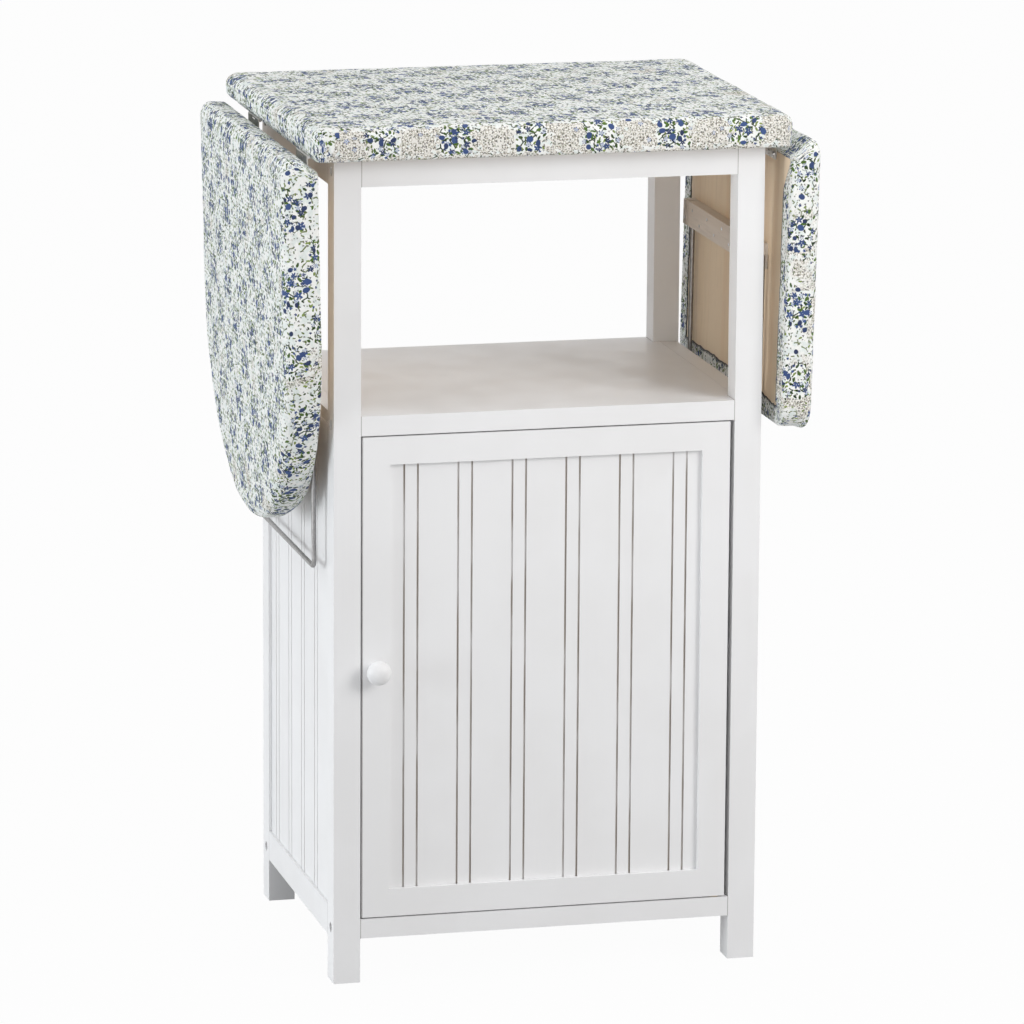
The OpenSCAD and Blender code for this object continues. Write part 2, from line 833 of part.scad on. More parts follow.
// Prop: a wire bail, drawn in its own frame with the pivot at the origin and the bar at +X
module prop_wire() {
  bend = prop_bend + wire_r;
  translate([0, prop_mid, 0]) {
    mirrored_y() {
      bore_y(0, prop_half - prop_pin_l, prop_half, 0, wire_d);
      translate([0, prop_half, 0])
        sphere(d = wire_d);
      bore_x(0, prop_l - bend, prop_half, 0, wire_d);
      translate([prop_l - bend, prop_half - bend, 0])
        rotate_extrude(angle = 90)
          translate([bend, 0])
            circle(d = wire_d);
    }
    bore_y(prop_l, bend - prop_half, prop_half - bend, 0, wire_d);
  }
}

module prop(side) {
  mirror([side < 0 ? 1 : 0, 0, 0])
    translate([axis_x, 0, axis_z])
      rotate([0, 90 + leaf_lean, 0])
        translate([prop_set, 0, prop_drop])
          rotate([0, prop_lean - leaf_lean, 0])
            prop_wire();
}

module left_leaf_board() {
  color("burlywood") leaf_board(-1, left_leaf_l, left_far, nose_steps);
}

module left_leaf_pad() {
  color("lightsteelblue") leaf_pad(-1, left_leaf_l, left_far, nose_steps, left_pad_t);
}

module left_leaf_batten() {
  color("antiquewhite") leaf_batten(-1);
}

module left_batten_nails() {
  color("gray") batten_nails(-1);
}

module left_leaf_hinges() {
  color("silver") leaf_hinges(-1);
}

module left_hinge_screws() {
  color("silver") leaf_hinge_screws(-1);
}

module left_prop() {
  color("darkgray") prop(-1);
}

module right_leaf_board() {
  color("burlywood") leaf_board(1, right_leaf_l, right_far, corner_steps);
}

module right_leaf_pad() {
  color("lightsteelblue") leaf_pad(1, right_leaf_l, right_far, corner_steps, right_pad_t);
}

module right_leaf_batten() {
  color("antiquewhite") leaf_batten(1);
}

module right_batten_nails() {
  color("gray") batten_nails(1);
}

module right_leaf_hinges() {
  color("silver") leaf_hinges(1);
}

module right_hinge_screws() {
  color("silver") leaf_hinge_screws(1);
}

module right_prop() {
  color("darkgray") prop(1);
}

// ---- Door ----

panel_low = door_low + stile_w - tongue;
panel_high = door_high - stile_w + tongue;
panel_left = door_left + stile_w - tongue;
panel_right = door_right - stile_w + tongue;
panel_front = -half_d + door_recess;

module door_groove() {
  block([panel_left - 0.5, panel_front - panel_fit, panel_low - 0.5],
        [panel_right + 0.5, panel_front + panel_t + panel_fit, panel_high + 0.5]);
}

module door_pivot_bores() {
  for (z = [door_low - 1, door_high - pivot_l - 1])
    bore_z(pivot_x, pivot_y, z, z + pivot_l + 2, pivot_d + 2 * shaft_fit);
}

module door_left_stile() {
  color("white")
    difference() {
      block([door_left, -half_d, door_low], [door_left + stile_w, door_back, door_high]);
      door_groove();
      bore_y(knob_x, -half_d - 1, door_back + 1, knob_z, knob_bore_d + 2 * bolt_fit);
    }
}

module door_right_stile() {
  color("white")
    difference() {
      block([door_right - stile_w, -half_d, door_low], [door_right, door_back, door_high]);
      door_groove();
      door_pivot_bores();
    }
}

module door_top_rail() {
  color("white")
    difference() {
      block(
        [door_left + stile_w, -half_d, door_high - stile_w],
        [door_right - stile_w, door_back, door_high]);
      door_groove();
    }
}

module door_bottom_rail() {
  color("white")
    difference() {
      block([door_left + stile_w, -half_d, door_low], [door_right - stile_w, door_back, door_low + stile_w]);
      door_groove();
    }
}

module door_panel() {
  mid = (door_left + door_right) / 2;
  open_half = (door_right - door_left) / 2 - stile_w;
  beads = floor(open_half / door_bead_pitch + 0.5);
  color("white")
    difference() {
      block([panel_left, panel_front, panel_low], [panel_right, panel_front + panel_t, panel_high]);
      for (i = [-beads : beads - 1])
        for (s = [-1, 1]) {
          x = mid + (i + 0.5) * door_bead_pitch + s * bead_pair / 2;
          if (abs(x - mid) < open_half - bead_w)
            block(
              [x - bead_w / 2, panel_front - 1, door_low],
              [x + bead_w / 2, panel_front + bead_depth, door_high]);
        }
    }
}

// Turned knob: foot ring, waist and domed head, along -Y from the door front
module door_knob() {
  r = knob_d / 2;
  head = knob_reach * 0.62;
  dome = [for (t = [0 : 9 : 90]) [r * cos(t), knob_reach - head * 0.62 + head * 0.62 * sin(t)]];
  under = [
    for (t = [0 : 15 : 75])
      [r * 0.46 + r * 0.54 * sin(t), knob_reach - head * 0.62 - head * 0.38 * cos(t)]];
  color("white")
    translate([knob_x, -half_d, knob_z])
      rotate([90, 0, 0])
        difference() {
          rotate_extrude()
            polygon(concat(
              [[0, 0], [r * 0.62, 0], [r * 0.66, 0.8], [r * 0.62, 2.2], [r * 0.46, 3.2]],
              under,
              dome));
          translate([0, 0, -1])
            cylinder(h = knob_screw_in + 2, d = knob_bore_d + 2 * shaft_fit);
        }
}

module knob_screw() {
  color("silver") {
    bore_y(knob_x, door_back, door_back + 2.4, knob_z, 8);
    bore_y(knob_x, -half_d - knob_screw_in, door_back, knob_z, knob_bore_d);
  }
}

module door_pivot_pins() {
  color("silver") {
    bore_z(pivot_x, pivot_y, front_rail_top - pivot_low, door_low + pivot_l - 1, pivot_d);
    bore_z(pivot_x, pivot_y, door_high - pivot_l + 1, shelf_under + pivot_high, pivot_d);
  }
}

module pivot_washer() {
  color("gold")
    difference() {
      bore_z(pivot_x, pivot_y, front_rail_top, front_rail_top + door_gap - 0.3, pivot_d * 2);
      bore_z(pivot_x, pivot_y, front_rail_top - 1, front_rail_top + door_gap + 1, pivot_d + 2 * shaft_fit);
    }
}

module catch_screw_bores(z0, z1) {
  for (s = [-1, 1])
    bore_z(
      catch_x + s * catch_w * 0.36, door_back + strike_t + catch_gap + catch_d / 2,
      z0, z1, screw_d + 2 * bolt_fit);
}

module door_catch() {
  color("whitesmoke")
    difference() {
      block([catch_x - catch_w / 2, door_back + strike_t + catch_gap, shelf_under - catch_h],
            [catch_x + catch_w / 2, door_back + strike_t + catch_gap + catch_d, shelf_under]);
      catch_screw_bores(shelf_under - catch_h - 1, shelf_under + 1);
      for (s = [-1, 1])
        block([catch_x + s * catch_w * 0.36 - 4, door_back, shelf_under - catch_h - 1],
              [catch_x + s * catch_w * 0.36 + 4, door_back + catch_d + 5, shelf_under - catch_h / 2]);
    }
}

module catch_screws() {
  color("silver")
    for (s = [-1, 1])
      translate([catch_x + s * catch_w * 0.36, door_back + strike_t + catch_gap + catch_d / 2,
                 shelf_under - catch_h / 2])
        wood_screw(catch_h / 2 + screw_l - 1);
}

module strike_plate() {
  color("silver")
    block([catch_x - catch_w * 0.26, door_back, door_high - catch_h],
          [catch_x + catch_w * 0.26, door_back + strike_t, door_high - 1]);
}

front_left_post();
front_right_post();
rear_left_post();
rear_right_post();
front_top_rail();
rear_top_rail();
left_top_rail();
right_top_rail();
shelf();
left_middle_rail();
right_middle_rail();
front_bottom_rail();
rear_bottom_rail();
left_bottom_rail();
right_bottom_rail();
left_side_panel();
right_side_panel();
back_panel();
floor_board();
floor_cleats();
frame_bolts();
cross_nuts();
top_board();
top_pad();
top_screws();
door_catch();
catch_screws();
door_pivot_pins();
pivot_washer();
door_left_stile();
door_right_stile();
door_top_rail();
door_bottom_rail();
door_panel();
door_knob();
knob_screw();
strike_plate();
left_fixed_hinges();
right_fixed_hinges();
fixed_hinge_screws();
left_hinge_pins();
right_hinge_pins();
left_leaf_board();
left_leaf_pad();
left_leaf_batten();
left_batten_nails();
left_leaf_hinges();
left_hinge_screws();
left_prop();
right_leaf_board();
right_leaf_pad();
right_leaf_batten();
right_batten_nails();
right_leaf_hinges();
right_hinge_screws();
right_prop();
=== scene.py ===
# %% [markdown]
# # An ironing cabinet in Blender
# The object is a slim white cabinet that turns into an ironing table: a padded top, a long leaf
# with a rounded nose hanging on the left, and a short leaf hanging on the right.
# The wooden frame, the hinges and the wire props arrive as finished solids, in metres, in one
# shared frame. Blender's work is what solids can't show: paint, veneer, wire, and three covers
# of printed cotton over wadding. The first cell loads the solids and adds a helper that measures a part's
# box.

# %% Load the imported model
import math

import bmesh
import bpy
from mathutils import Matrix, Vector, noise

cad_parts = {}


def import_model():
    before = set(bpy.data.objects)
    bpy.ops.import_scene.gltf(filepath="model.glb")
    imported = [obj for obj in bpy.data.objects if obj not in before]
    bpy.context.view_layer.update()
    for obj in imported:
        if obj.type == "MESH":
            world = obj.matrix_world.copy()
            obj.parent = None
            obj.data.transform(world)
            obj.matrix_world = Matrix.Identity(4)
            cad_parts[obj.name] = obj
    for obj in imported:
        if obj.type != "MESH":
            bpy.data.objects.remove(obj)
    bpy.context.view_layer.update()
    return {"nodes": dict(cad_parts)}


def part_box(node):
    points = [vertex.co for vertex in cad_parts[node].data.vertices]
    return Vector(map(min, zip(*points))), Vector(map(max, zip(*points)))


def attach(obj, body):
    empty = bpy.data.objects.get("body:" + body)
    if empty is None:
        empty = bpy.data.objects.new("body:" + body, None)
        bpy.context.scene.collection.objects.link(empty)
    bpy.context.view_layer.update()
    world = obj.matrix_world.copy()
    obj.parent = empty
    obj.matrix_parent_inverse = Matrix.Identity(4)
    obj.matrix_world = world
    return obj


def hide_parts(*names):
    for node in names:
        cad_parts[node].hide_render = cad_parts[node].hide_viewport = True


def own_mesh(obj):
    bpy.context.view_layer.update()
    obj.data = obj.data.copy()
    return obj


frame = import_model()
nodes = frame["nodes"]

# %% [markdown]
# ## The camera
# A product photograph like this one is taken from far away with a long lens, so the posts stay
# almost parallel. A camera can be aimed by eye, but its place and its three axes were worked out
# from the straight edges of the frame, and written here as plain numbers: right, up and back.

# %% Place the camera
camera = bpy.data.objects.new("camera", bpy.data.cameras.new("camera"))
bpy.context.scene.collection.objects.link(camera)
camera.matrix_world = Matrix((
    (0.97018607, 0.04648112, -0.23786233, -1.59058),
    (-0.24227396, 0.21233921, -0.94668653, -6.35086),
    (0.00650445, 0.97608994, 0.21726971, 1.89750),
    (0.0, 0.0, 0.0, 1.0)))
camera.data.lens = 229.75
camera.data.sensor_width = 36.0
camera.data.clip_end = 100.0
bpy.context.scene.camera = camera
print("camera distance:", round(camera.location.length, 2), "m")

# %% [markdown]
# ## Wiring nodes by hand
# A material in Blender is a tree of nodes. Wiring one takes three lines per node, so two small
# helpers do it: one adds a node and fills its sockets with numbers or with other nodes' outputs,
# and one does a single sum. They are used by every finish below.

# %% Two helpers for node trees
def add(tree, kind, inputs=None, **settings):
    """Adds a node; a value in inputs is a number, a colour or another node's output."""
    made = tree.nodes.new("ShaderNode" + kind)
    for name, value in settings.items():
        setattr(made, name, value)
    for name, value in (inputs or {}).items():
        if isinstance(value, bpy.types.NodeSocket):
            tree.links.new(value, made.inputs[name])
        else:
            made.inputs[name].default_value = value
    return made


def calc(tree, operation, *values):
    """One sum, such as calc(tree, "ADD", a, 2)."""
    return add(tree, "Math", dict(enumerate(values)), operation=operation).outputs[0]


def over(tree, share, under, colour):
    """Lays a colour over another where share is 1."""
    return add(tree, "Mix", {0: share, 6: under, 7: colour}, data_type="RGBA").outputs[2]


def ramp(tree, value, low, high, start=0.0, end=1.0):
    """A soft step: start below low, end above high."""
    return add(tree, "MapRange", {0: value, 1: low, 2: high, 3: start, 4: end},
               interpolation_type="SMOOTHSTEP").outputs[0]


def finish(name, **shader):
    """A new material, its tree and its shader; plain numbers go straight on to the shader."""
    material = bpy.data.materials.new(name)
    material.use_nodes = True
    tree = material.node_tree
    body = tree.nodes["Principled BSDF"]
    for socket, value in shader.items():
        body.inputs[socket.replace("_", " ")].default_value = value
    return material, tree, body


print("helpers ready")

# %% [markdown]
# ## The floor and the light
# The photograph has a plain white ground. The floor is a pale matt sheet that takes the cabinet's
# soft shadow, and for the camera, and for what is mirrored in metal, most of its colour is plain
# white. Making the ground white with more lamps would bleach the paint, so the lamps stay low.
# Most of the light comes from a pale sky that is brightest overhead, like a studio's white ceiling,
# and behind the cabinet it stays pale down to the floor, like a white backdrop.

# %% Lay the floor and hang the sky
def seen_share(tree, share):
    """share for rays that come from the camera or a mirror, 0 for all others."""
    rays = add(tree, "LightPath")
    seen = calc(tree, "MAXIMUM", rays.outputs["Is Camera Ray"], rays.outputs["Is Glossy Ray"])
    seen = calc(tree, "MAXIMUM", seen, rays.outputs["Is Transmission Ray"])
    return calc(tree, "MULTIPLY", seen, share)


WHITE = (1, 1, 1, 1)
FLOOR_HALF = 30       # metres from the middle of the floor to its edge
FLOOR_WHITE = 0.97    # how much of the floor is plain white to the camera
ZENITH = 1.14         # the sky's strength straight overhead

floor_mesh = bpy.data.meshes.new("floor")
corners = [(x * FLOOR_HALF, y * FLOOR_HALF, 0) for x, y in ((-1, -1), (1, -1), (1, 1), (-1, 1))]
floor_mesh.from_pydata(corners, [], [(0, 1, 2, 3)])
floor = bpy.data.objects.new("floor", floor_mesh)
bpy.context.scene.collection.objects.link(floor)
floor_paper, tree, body = finish("floor paper", Base_Color=(0.42, 0.42, 0.42, 1), Roughness=0.9)
white = add(tree, "Emission", {"Color": WHITE, "Strength": 1.0})
mixed = add(tree, "MixShader", {0: seen_share(tree, FLOOR_WHITE), 1: body.outputs[0], 2: white.outputs[0]})
tree.links.new(mixed.outputs[0], tree.nodes["Material Output"].inputs[0])
floor_mesh.materials.append(floor_paper)

world = bpy.data.worlds.new("studio")
bpy.context.scene.world = world
world.use_nodes = True
tree = world.node_tree
looking = add(tree, "SeparateXYZ", {0: add(tree, "TexCoord").outputs["Generated"]})
backdrop = ramp(tree, looking.outputs[1], -0.1, 0.6, 0.05, 0.62)
dome = calc(tree, "MAXIMUM", backdrop, calc(tree, "MULTIPLY", looking.outputs[2], ZENITH))
sky = add(tree, "Background", {"Color": (0.985, 0.99, 1.0, 1), "Strength": dome})
plain = add(tree, "Background", {"Color": WHITE, "Strength": 1.0})
mixed = add(tree, "MixShader", {0: seen_share(tree, 1.0), 1: sky.outputs[0], 2: plain.outputs[0]})
tree.links.new(mixed.outputs[0], tree.nodes["World Output"].inputs[0])
print("floor and world made")

# %% [markdown]
# ## The lamps
# Three soft boxes stand round the camera: a main one high on the right, which makes the top right
# of the cabinet its brightest place, a cooler one low on the left that keeps the side panel clear,
# and a weak one close to the camera that reaches into the corners behind the posts, kept to the
# upper half by a narrow spread. A big lamp gives soft edges to shadows. Each is turned towards
# the place it should light by pointing its own minus Z at it.

# %% Hang three soft boxes
def soft_box(name, place, size, power, colour, aim=(0, 0, 0.55), spread=180):
    """A square lamp: place and aim in metres, size its edge, power in watts, spread in degrees."""
    lamp = bpy.data.objects.new(name, bpy.data.lights.new(name, "AREA"))
    lamp.data.shape = "RECTANGLE"
    lamp.data.size = lamp.data.size_y = size
    lamp.data.energy = power
    lamp.data.color = colour
    lamp.location = place
    lamp.data.spread = math.radians(spread)
    lamp.rotation_euler = (Vector(aim) - lamp.location).to_track_quat("-Z", "Y").to_euler()
    bpy.context.scene.collection.objects.link(lamp)


soft_box("main lamp", (1.9, -2.35, 1.8), 1.4, 49.7, (1.0, 0.985, 0.97))
soft_box("side lamp", (-3.9, -0.7, 0.8), 1.6, 71, (0.93, 0.97, 1.0))
soft_box("fill lamp", (-0.75, -3.4, 1.0), 0.7, 0.34, (1.0, 0.985, 0.965), (0.15, -0.1, 0.9), 24)

view = bpy.context.scene.view_settings
view.view_transform = "Standard"

# %% [markdown]
# ## White paint
# The frame is solid wood under a sprayed satin white paint. Real paint is never one flat colour:
# it dries a little uneven, and the bead grooves of the panels gather a brownish, broken line. A
# fine dark line of painted shade is laid where a rail's end meets a post and along the door's gap.
# A very low bump, stretched along the post, gives the faint grain that shows through. The bump
# stays far below a millimetre, or the paint would look like plaster.

# %% Mix the paint
PAINT, PAINT_CLOUDY = (0.865, 0.865, 0.872, 1), (0.835, 0.832, 0.835, 1)
# The second colour is painted shade, for the dark line where a piece meets a post or the door's gap.
DUST, GAP_SHADE = (0.42, 0.365, 0.32, 1), (0.22, 0.20, 0.185, 1)
FADE_FROM, FADE_TO = 0.0016, 0.0022     # metres down a groove between which the dust fades out
GAP_SHADE_W, HAIR = 0.0011, 0.00005         # the painted shade line's width; an end face itself isn't part of it


def white_paint(name, grain, groove=None, gap_shade=None):
    """grain stretches the bump; groove = (axis, sign, level) marks what lies behind a panel's face;
    the last one, (axis, distance, beyond), is where the piece's ends meet the posts and lays a dark
    line of painted shade there; beyond keeps the line to places at least that far out along y."""
    paint, tree, body = finish(name, Specular_IOR_Level=0.42)
    place = add(tree, "TexCoord").outputs["Object"]
    cloudy = add(tree, "TexNoise", {"Vector": place, "Scale": 9.0, "Detail": 3.0}).outputs[0]
    colour = over(tree, ramp(tree, cloudy, 0.35, 0.7), PAINT, PAINT_CLOUDY)
    if groove:
        axis, sign, level = groove
        along = add(tree, "SeparateXYZ", {0: place}).outputs[axis]
        deep, level = calc(tree, "MULTIPLY", along, sign), sign * level
        inside = ramp(tree, deep, level - 0.0004, level)
        shallow = ramp(tree, deep, level + FADE_FROM, level + FADE_TO, 1.0, 0.0)
        inside = calc(tree, "MULTIPLY", inside, shallow)
        streaks = add(tree, "Mapping", {"Vector": place, "Scale": (90, 90, 14)}).outputs[0]
        broken = add(tree, "TexNoise", {"Vector": streaks, "Scale": 1.0, "Detail": 3.0}).outputs[0]
        dust = calc(tree, "MULTIPLY", inside, ramp(tree, broken, 0.3, 0.62, 0.15, 0.9))
        colour = over(tree, dust, colour, DUST)
    # painted shade: a dark line on the faces next to where the piece meets a post, and along the door's gap
    if gap_shade:
        axis, distance, beyond = gap_shade
        xyz = add(tree, "SeparateXYZ", {0: place})
        along = calc(tree, "ABSOLUTE", xyz.outputs[axis])
        near = ramp(tree, along, distance - GAP_SHADE_W, distance - 0.0004, 0.0, 0.75)
        near = calc(tree, "MULTIPLY", near, calc(tree, "LESS_THAN", along, distance - HAIR))
        if beyond:
            outside = calc(tree, "GREATER_THAN", calc(tree, "ABSOLUTE", xyz.outputs[1]), beyond)
            near = calc(tree, "MULTIPLY", near, outside)
        colour = over(tree, near, colour, GAP_SHADE)
    tree.links.new(colour, body.inputs["Base Color"])
    gloss = add(tree, "TexNoise", {"Vector": place, "Scale": 28.0, "Detail": 2.0}).outputs[0]
    tree.links.new(ramp(tree, gloss, 0.3, 0.7, 0.34, 0.46), body.inputs["Roughness"])
    brushed = add(tree, "Mapping", {"Vector": place, "Scale": grain}).outputs[0]
    fibre = add(tree, "TexNoise", {"Vector": brushed, "Scale": 1.0, "Detail": 4.0}).outputs[0]
    bump = add(tree, "Bump", {"Strength": 0.35, "Distance": 0.0002, "Height": fibre})
    tree.links.new(bump.outputs[0], body.inputs["Normal"])
    return paint


UPRIGHT, ACROSS, SIDEWAYS = (420, 420, 22), (22, 420, 420), (420, 22, 420)     # where the grain runs
rail_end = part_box("front_top_rail")[1].x
side_rail_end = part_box("left_top_rail")[1].y
stile_side = -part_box("door_left_stile")[0].x
paint_upright = white_paint("white paint on uprights", UPRIGHT)
# These four get a painted shade line where they meet the posts or the door's gap.
paint_stile = white_paint("white paint on the latch stile", UPRIGHT, gap_shade=(0, stile_side, 0))
paint_across = white_paint("white paint on rails", ACROSS, gap_shade=(0, rail_end, 0))
paint_board = white_paint("white paint on the shelf", ACROSS, gap_shade=(0, rail_end, side_rail_end))
paint_side = white_paint("white paint on side rails", SIDEWAYS, gap_shade=(1, side_rail_end, 0))
print("paints:", paint_upright.name, paint_across.name, paint_side.name)

# %% [markdown]
# ## Paint on the frame
# Every painted node takes the paint whose grain runs along the piece. Sharp CAD edges would look
# like cut paper, so a bevel modifier rounds them by less than a millimetre, as sanding does. The
# mesh itself is not touched: a modifier works on top of it.

# %% Paint the wooden nodes
def dress(names, material, round_off=0.0):
    """Puts one material on CAD nodes and eases their edges."""
    for name in names:
        piece = nodes[name]
        for slot in piece.material_slots:
            slot.material = material
        if round_off:
            ease = piece.modifiers.new("eased edges", "BEVEL")
            ease.width = round_off
            ease.segments = 2
            ease.limit_method = "ANGLE"
            ease.angle_limit = math.radians(40)
            ease.use_clamp_overlap = True


uprights = ["front_left_post", "front_right_post", "rear_left_post", "rear_right_post",
            "door_right_stile", "back_panel"]
across = ["front_top_rail", "rear_top_rail", "front_bottom_rail", "rear_bottom_rail", "door_top_rail",
          "door_bottom_rail"]
side_rails = ["left_top_rail", "right_top_rail", "left_middle_rail", "right_middle_rail",
              "left_bottom_rail", "right_bottom_rail", "floor_cleats"]
SANDED = 0.0009     # metres that sanding takes off a painted edge
dress(uprights, paint_upright, SANDED)
dress(across, paint_across, SANDED)
dress(["shelf", "floor_board"], paint_board, SANDED)
dress(["door_left_stile"], paint_stile, SANDED)
dress(side_rails, paint_side, SANDED)
print("painted:", len(uprights + across + side_rails))

# %% [markdown]
# ## Beaded panels
# The door and the sides are boards with pairs of fine grooves. In the grooves the paint is thin
# and dust has settled. The grooves are real cuts in the solids, so the paint only needs to know
# how deep a point lies: behind the panel's face it turns brownish, in broken streaks.

# %% Paint the panels and the knob
door_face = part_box("door_panel")[0].y
left_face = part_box("left_side_panel")[0].x
right_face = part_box("right_side_panel")[1].x
BEHIND = 0.0006     # metres behind the face where a groove begins
panels = (("door_panel", "door panel", 1, 1, door_face + BEHIND),
          ("left_side_panel", "left panel", 0, 1, left_face + BEHIND),
          ("right_side_panel", "right panel", 0, -1, right_face - BEHIND))
for node, title, axis, sign, level in panels:
    dress([node], white_paint("white paint on the " + title, UPRIGHT, (axis, sign, level)), 0.0003)
dress(["door_knob"], white_paint("white paint on the knob", (60, 60, 60)))
print("door face at", round(door_face, 4))

# %% [markdown]
# ## Bare wood
# Behind the covers the boards are bare plywood, and the battens are pale limed strips. Wood grain
# is noise stretched a long way along the grain, with a wave pattern bent by it for the growth
# lines. The grain of the leaves runs down the leaf.

# %% Make the plywood and the limed wood
def wood(name, stretch, light, dark, lines, rough):
    """stretch squeezes the grain across the board; lines = how strongly the veins show."""
    material, tree, body = finish(name, Roughness=rough, Specular_IOR_Level=0.3)
    place = add(tree, "TexCoord").outputs["Object"]
    long = add(tree, "Mapping", {"Vector": place, "Scale": stretch}).outputs[0]
    veins = add(tree, "TexNoise", {"Vector": long, "Scale": 1.0, "Detail": 6.0, "Roughness": 0.62})
    veins = veins.outputs[0]
    broad = add(tree, "Mapping", {"Vector": place, "Scale": [s * 0.16 for s in stretch]}).outputs[0]
    growth = add(tree, "TexNoise", {"Vector": broad, "Scale": 1.0, "Detail": 2.0, "Distortion": 0.8})
    colour = over(tree, ramp(tree, growth.outputs[0], 0.32, 0.68), light, dark)
    darker = tuple(c * 0.62 for c in dark[:3]) + (1,)
    colour = over(tree, ramp(tree, veins, 0.5, 0.78, 0.0, lines), colour, darker)
    pores = add(tree, "TexNoise", {"Vector": long, "Scale": 3.2, "Detail": 2.0}).outputs[0]
    colour = over(tree, ramp(tree, pores, 0.62, 0.72, 0.0, lines * 0.7), colour, darker)
    tree.links.new(colour, body.inputs["Base Color"])
    bump = add(tree, "Bump", {"Strength": 0.4, "Distance": 0.00025, "Height": veins})
    tree.links.new(bump.outputs[0], body.inputs["Normal"])
    return material


PLY_LIGHT, PLY_DARK = (0.94, 0.785, 0.59, 1), (0.89, 0.70, 0.50, 1)
plywood = wood("plywood", (130, 130, 7), PLY_LIGHT, PLY_DARK, 0.3, 0.62)
plywood_top = wood("plywood of the top", (7, 130, 130), PLY_LIGHT, PLY_DARK, 0.3, 0.62)
limed = wood("limed wood", (150, 8, 150), (0.86, 0.79, 0.72, 1), (0.78, 0.70, 0.62, 1), 0.35, 0.6)
dress(["left_leaf_board", "right_leaf_board"], plywood, 0.0006)
dress(["top_board"], plywood_top, 0.0006)
dress(["left_leaf_batten", "right_leaf_batten"], limed, 0.0012)
print("woods:", plywood.name, plywood_top.name, limed.name)

# %% [markdown]
# ## Metal parts
# The props are bent from dull grey wire, the hinges are zinc plated steel, and the door turns on
# steel pins. Metal is mostly what it mirrors, so what tells one metal from another is its tint
# and how evenly its roughness is spread: drawn wire has fine lines, plating has soft patches.

# %% Make the metals
def metal(name, tint, smooth, rough, scale):
    """smooth and rough are the two ends of its roughness; scale = how small its patches are."""
    material, tree, body = finish(name, Metallic=1.0)
    place = add(tree, "TexCoord").outputs["Object"]
    patches = add(tree, "TexNoise", {"Vector": place, "Scale": scale, "Detail": 4.0}).outputs[0]
    tree.links.new(ramp(tree, patches, 0.35, 0.65, smooth, rough), body.inputs["Roughness"])
    dull = tuple(c * 0.82 for c in tint) + (1,)
    tree.links.new(over(tree, ramp(tree, patches, 0.4, 0.7), (*tint, 1), dull), body.inputs["Base Color"])
    bump = add(tree, "Bump", {"Strength": 0.5, "Distance": 0.00006, "Height": patches})
    tree.links.new(bump.outputs[0], body.inputs["Normal"])
    return material


wire = metal("grey wire", (0.33, 0.325, 0.325), 0.30, 0.44, 260)
hinge_steel = metal("hinge steel", (0.62, 0.61, 0.58), 0.28, 0.42, 180)
zinc = metal("zinc plate", (0.66, 0.66, 0.68), 0.22, 0.36, 320)
brass = metal("washer brass", (0.80, 0.62, 0.32), 0.25, 0.38, 300)
bolt_steel = metal("dark bolt steel", (0.30, 0.29, 0.28), 0.35, 0.5, 240)
dress(["left_prop", "right_prop"], wire)
dress(["left_fixed_hinges", "right_fixed_hinges", "left_leaf_hinges", "right_leaf_hinges", "strike_plate"],
      hinge_steel, 0.00015)
dress(["left_hinge_pins", "right_hinge_pins", "door_pivot_pins", "cross_nuts", "top_screws",
       "fixed_hinge_screws", "left_hinge_screws", "right_hinge_screws", "catch_screws", "knob_screw",
       "left_batten_nails", "right_batten_nails"], zinc)
dress(["pivot_washer"], brass)
dress(["frame_bolts"], bolt_steel)
print("metals:", wire.name, hinge_steel.name, zinc.name, brass.name, bolt_steel.name)

# %% [markdown]
# ## The catch
# A small magnetic catch of white moulded plastic sits under the shelf, behind the door. Moulded
# plastic has a fine even sparkle from the mould and a little more gloss than the paint.

# %% Make the moulded plastic
plastic, tree, body = finish("catch plastic", Roughness=0.32)
place = add(tree, "TexCoord").outputs["Object"]
mould = add(tree, "TexNoise", {"Vector": place, "Scale": 900.0, "Detail": 2.0}).outputs[0]
colour = over(tree, ramp(tree, mould, 0.4, 0.6), (0.80, 0.79, 0.76, 1), (0.76, 0.75, 0.72, 1))
tree.links.new(colour, body.inputs["Base Color"])
bump = add(tree, "Bump", {"Strength": 0.3, "Distance": 0.00008, "Height": mould})
tree.links.new(bump.outputs[0], body.inputs["Normal"])
dress(["door_catch"], plastic, 0.0005)
print("plastic:", plastic.name)

# %% [markdown]
# ## The printed cotton, part one: where the bouquets are
# The covers are cotton with a small flower print. Such a print could be painted on an image, but
# here it is drawn by nodes, so that it stays sharp at any distance. The cloth is measured in
# millimetres. Its blossoms gather in bouquets that stand 73 mm apart, in rows set off by half a
# step. Two cosine waves, one along and one across the cloth, multiply to exactly such hills.

# %% A helper that finds the bouquets
REPEAT = 73.0


def bouquet_at(tree, spot, ragged=0.0):
    """1 inside a bouquet, 0 between them, for a place on the cloth in mm."""
    xy = add(tree, "SeparateXYZ", {0: spot})
    waves = [calc(tree, "COSINE", calc(tree, "MULTIPLY", xy.outputs[i], math.tau / REPEAT)) for i in (0, 1)]
    hills = calc(tree, "MULTIPLY", *waves)
    if ragged:
        torn = add(tree, "TexNoise", {"Vector": spot, "Scale": 0.11, "Detail": 3.0}).outputs[0]
        hills = calc(tree, "MULTIPLY_ADD", calc(tree, "SUBTRACT", torn, 0.5), ragged, hills)
    return ramp(tree, hills, 0.02, 0.22)


print("repeat of the print:", REPEAT, "mm")

# %% [markdown]
# ## The printed cotton, part two: a motif
# A cell pattern scatters one point per cell. Round each point a motif is drawn: its distance and
# angle from the point decide whether a spot lies inside a petal or a leaf. Dice thrown for each
# cell decide how large the motif is, how it is turned, and whether the cell has one at all, which
# is likelier where the cell's point lies in a bouquet. So no blossom is ever cut in half.

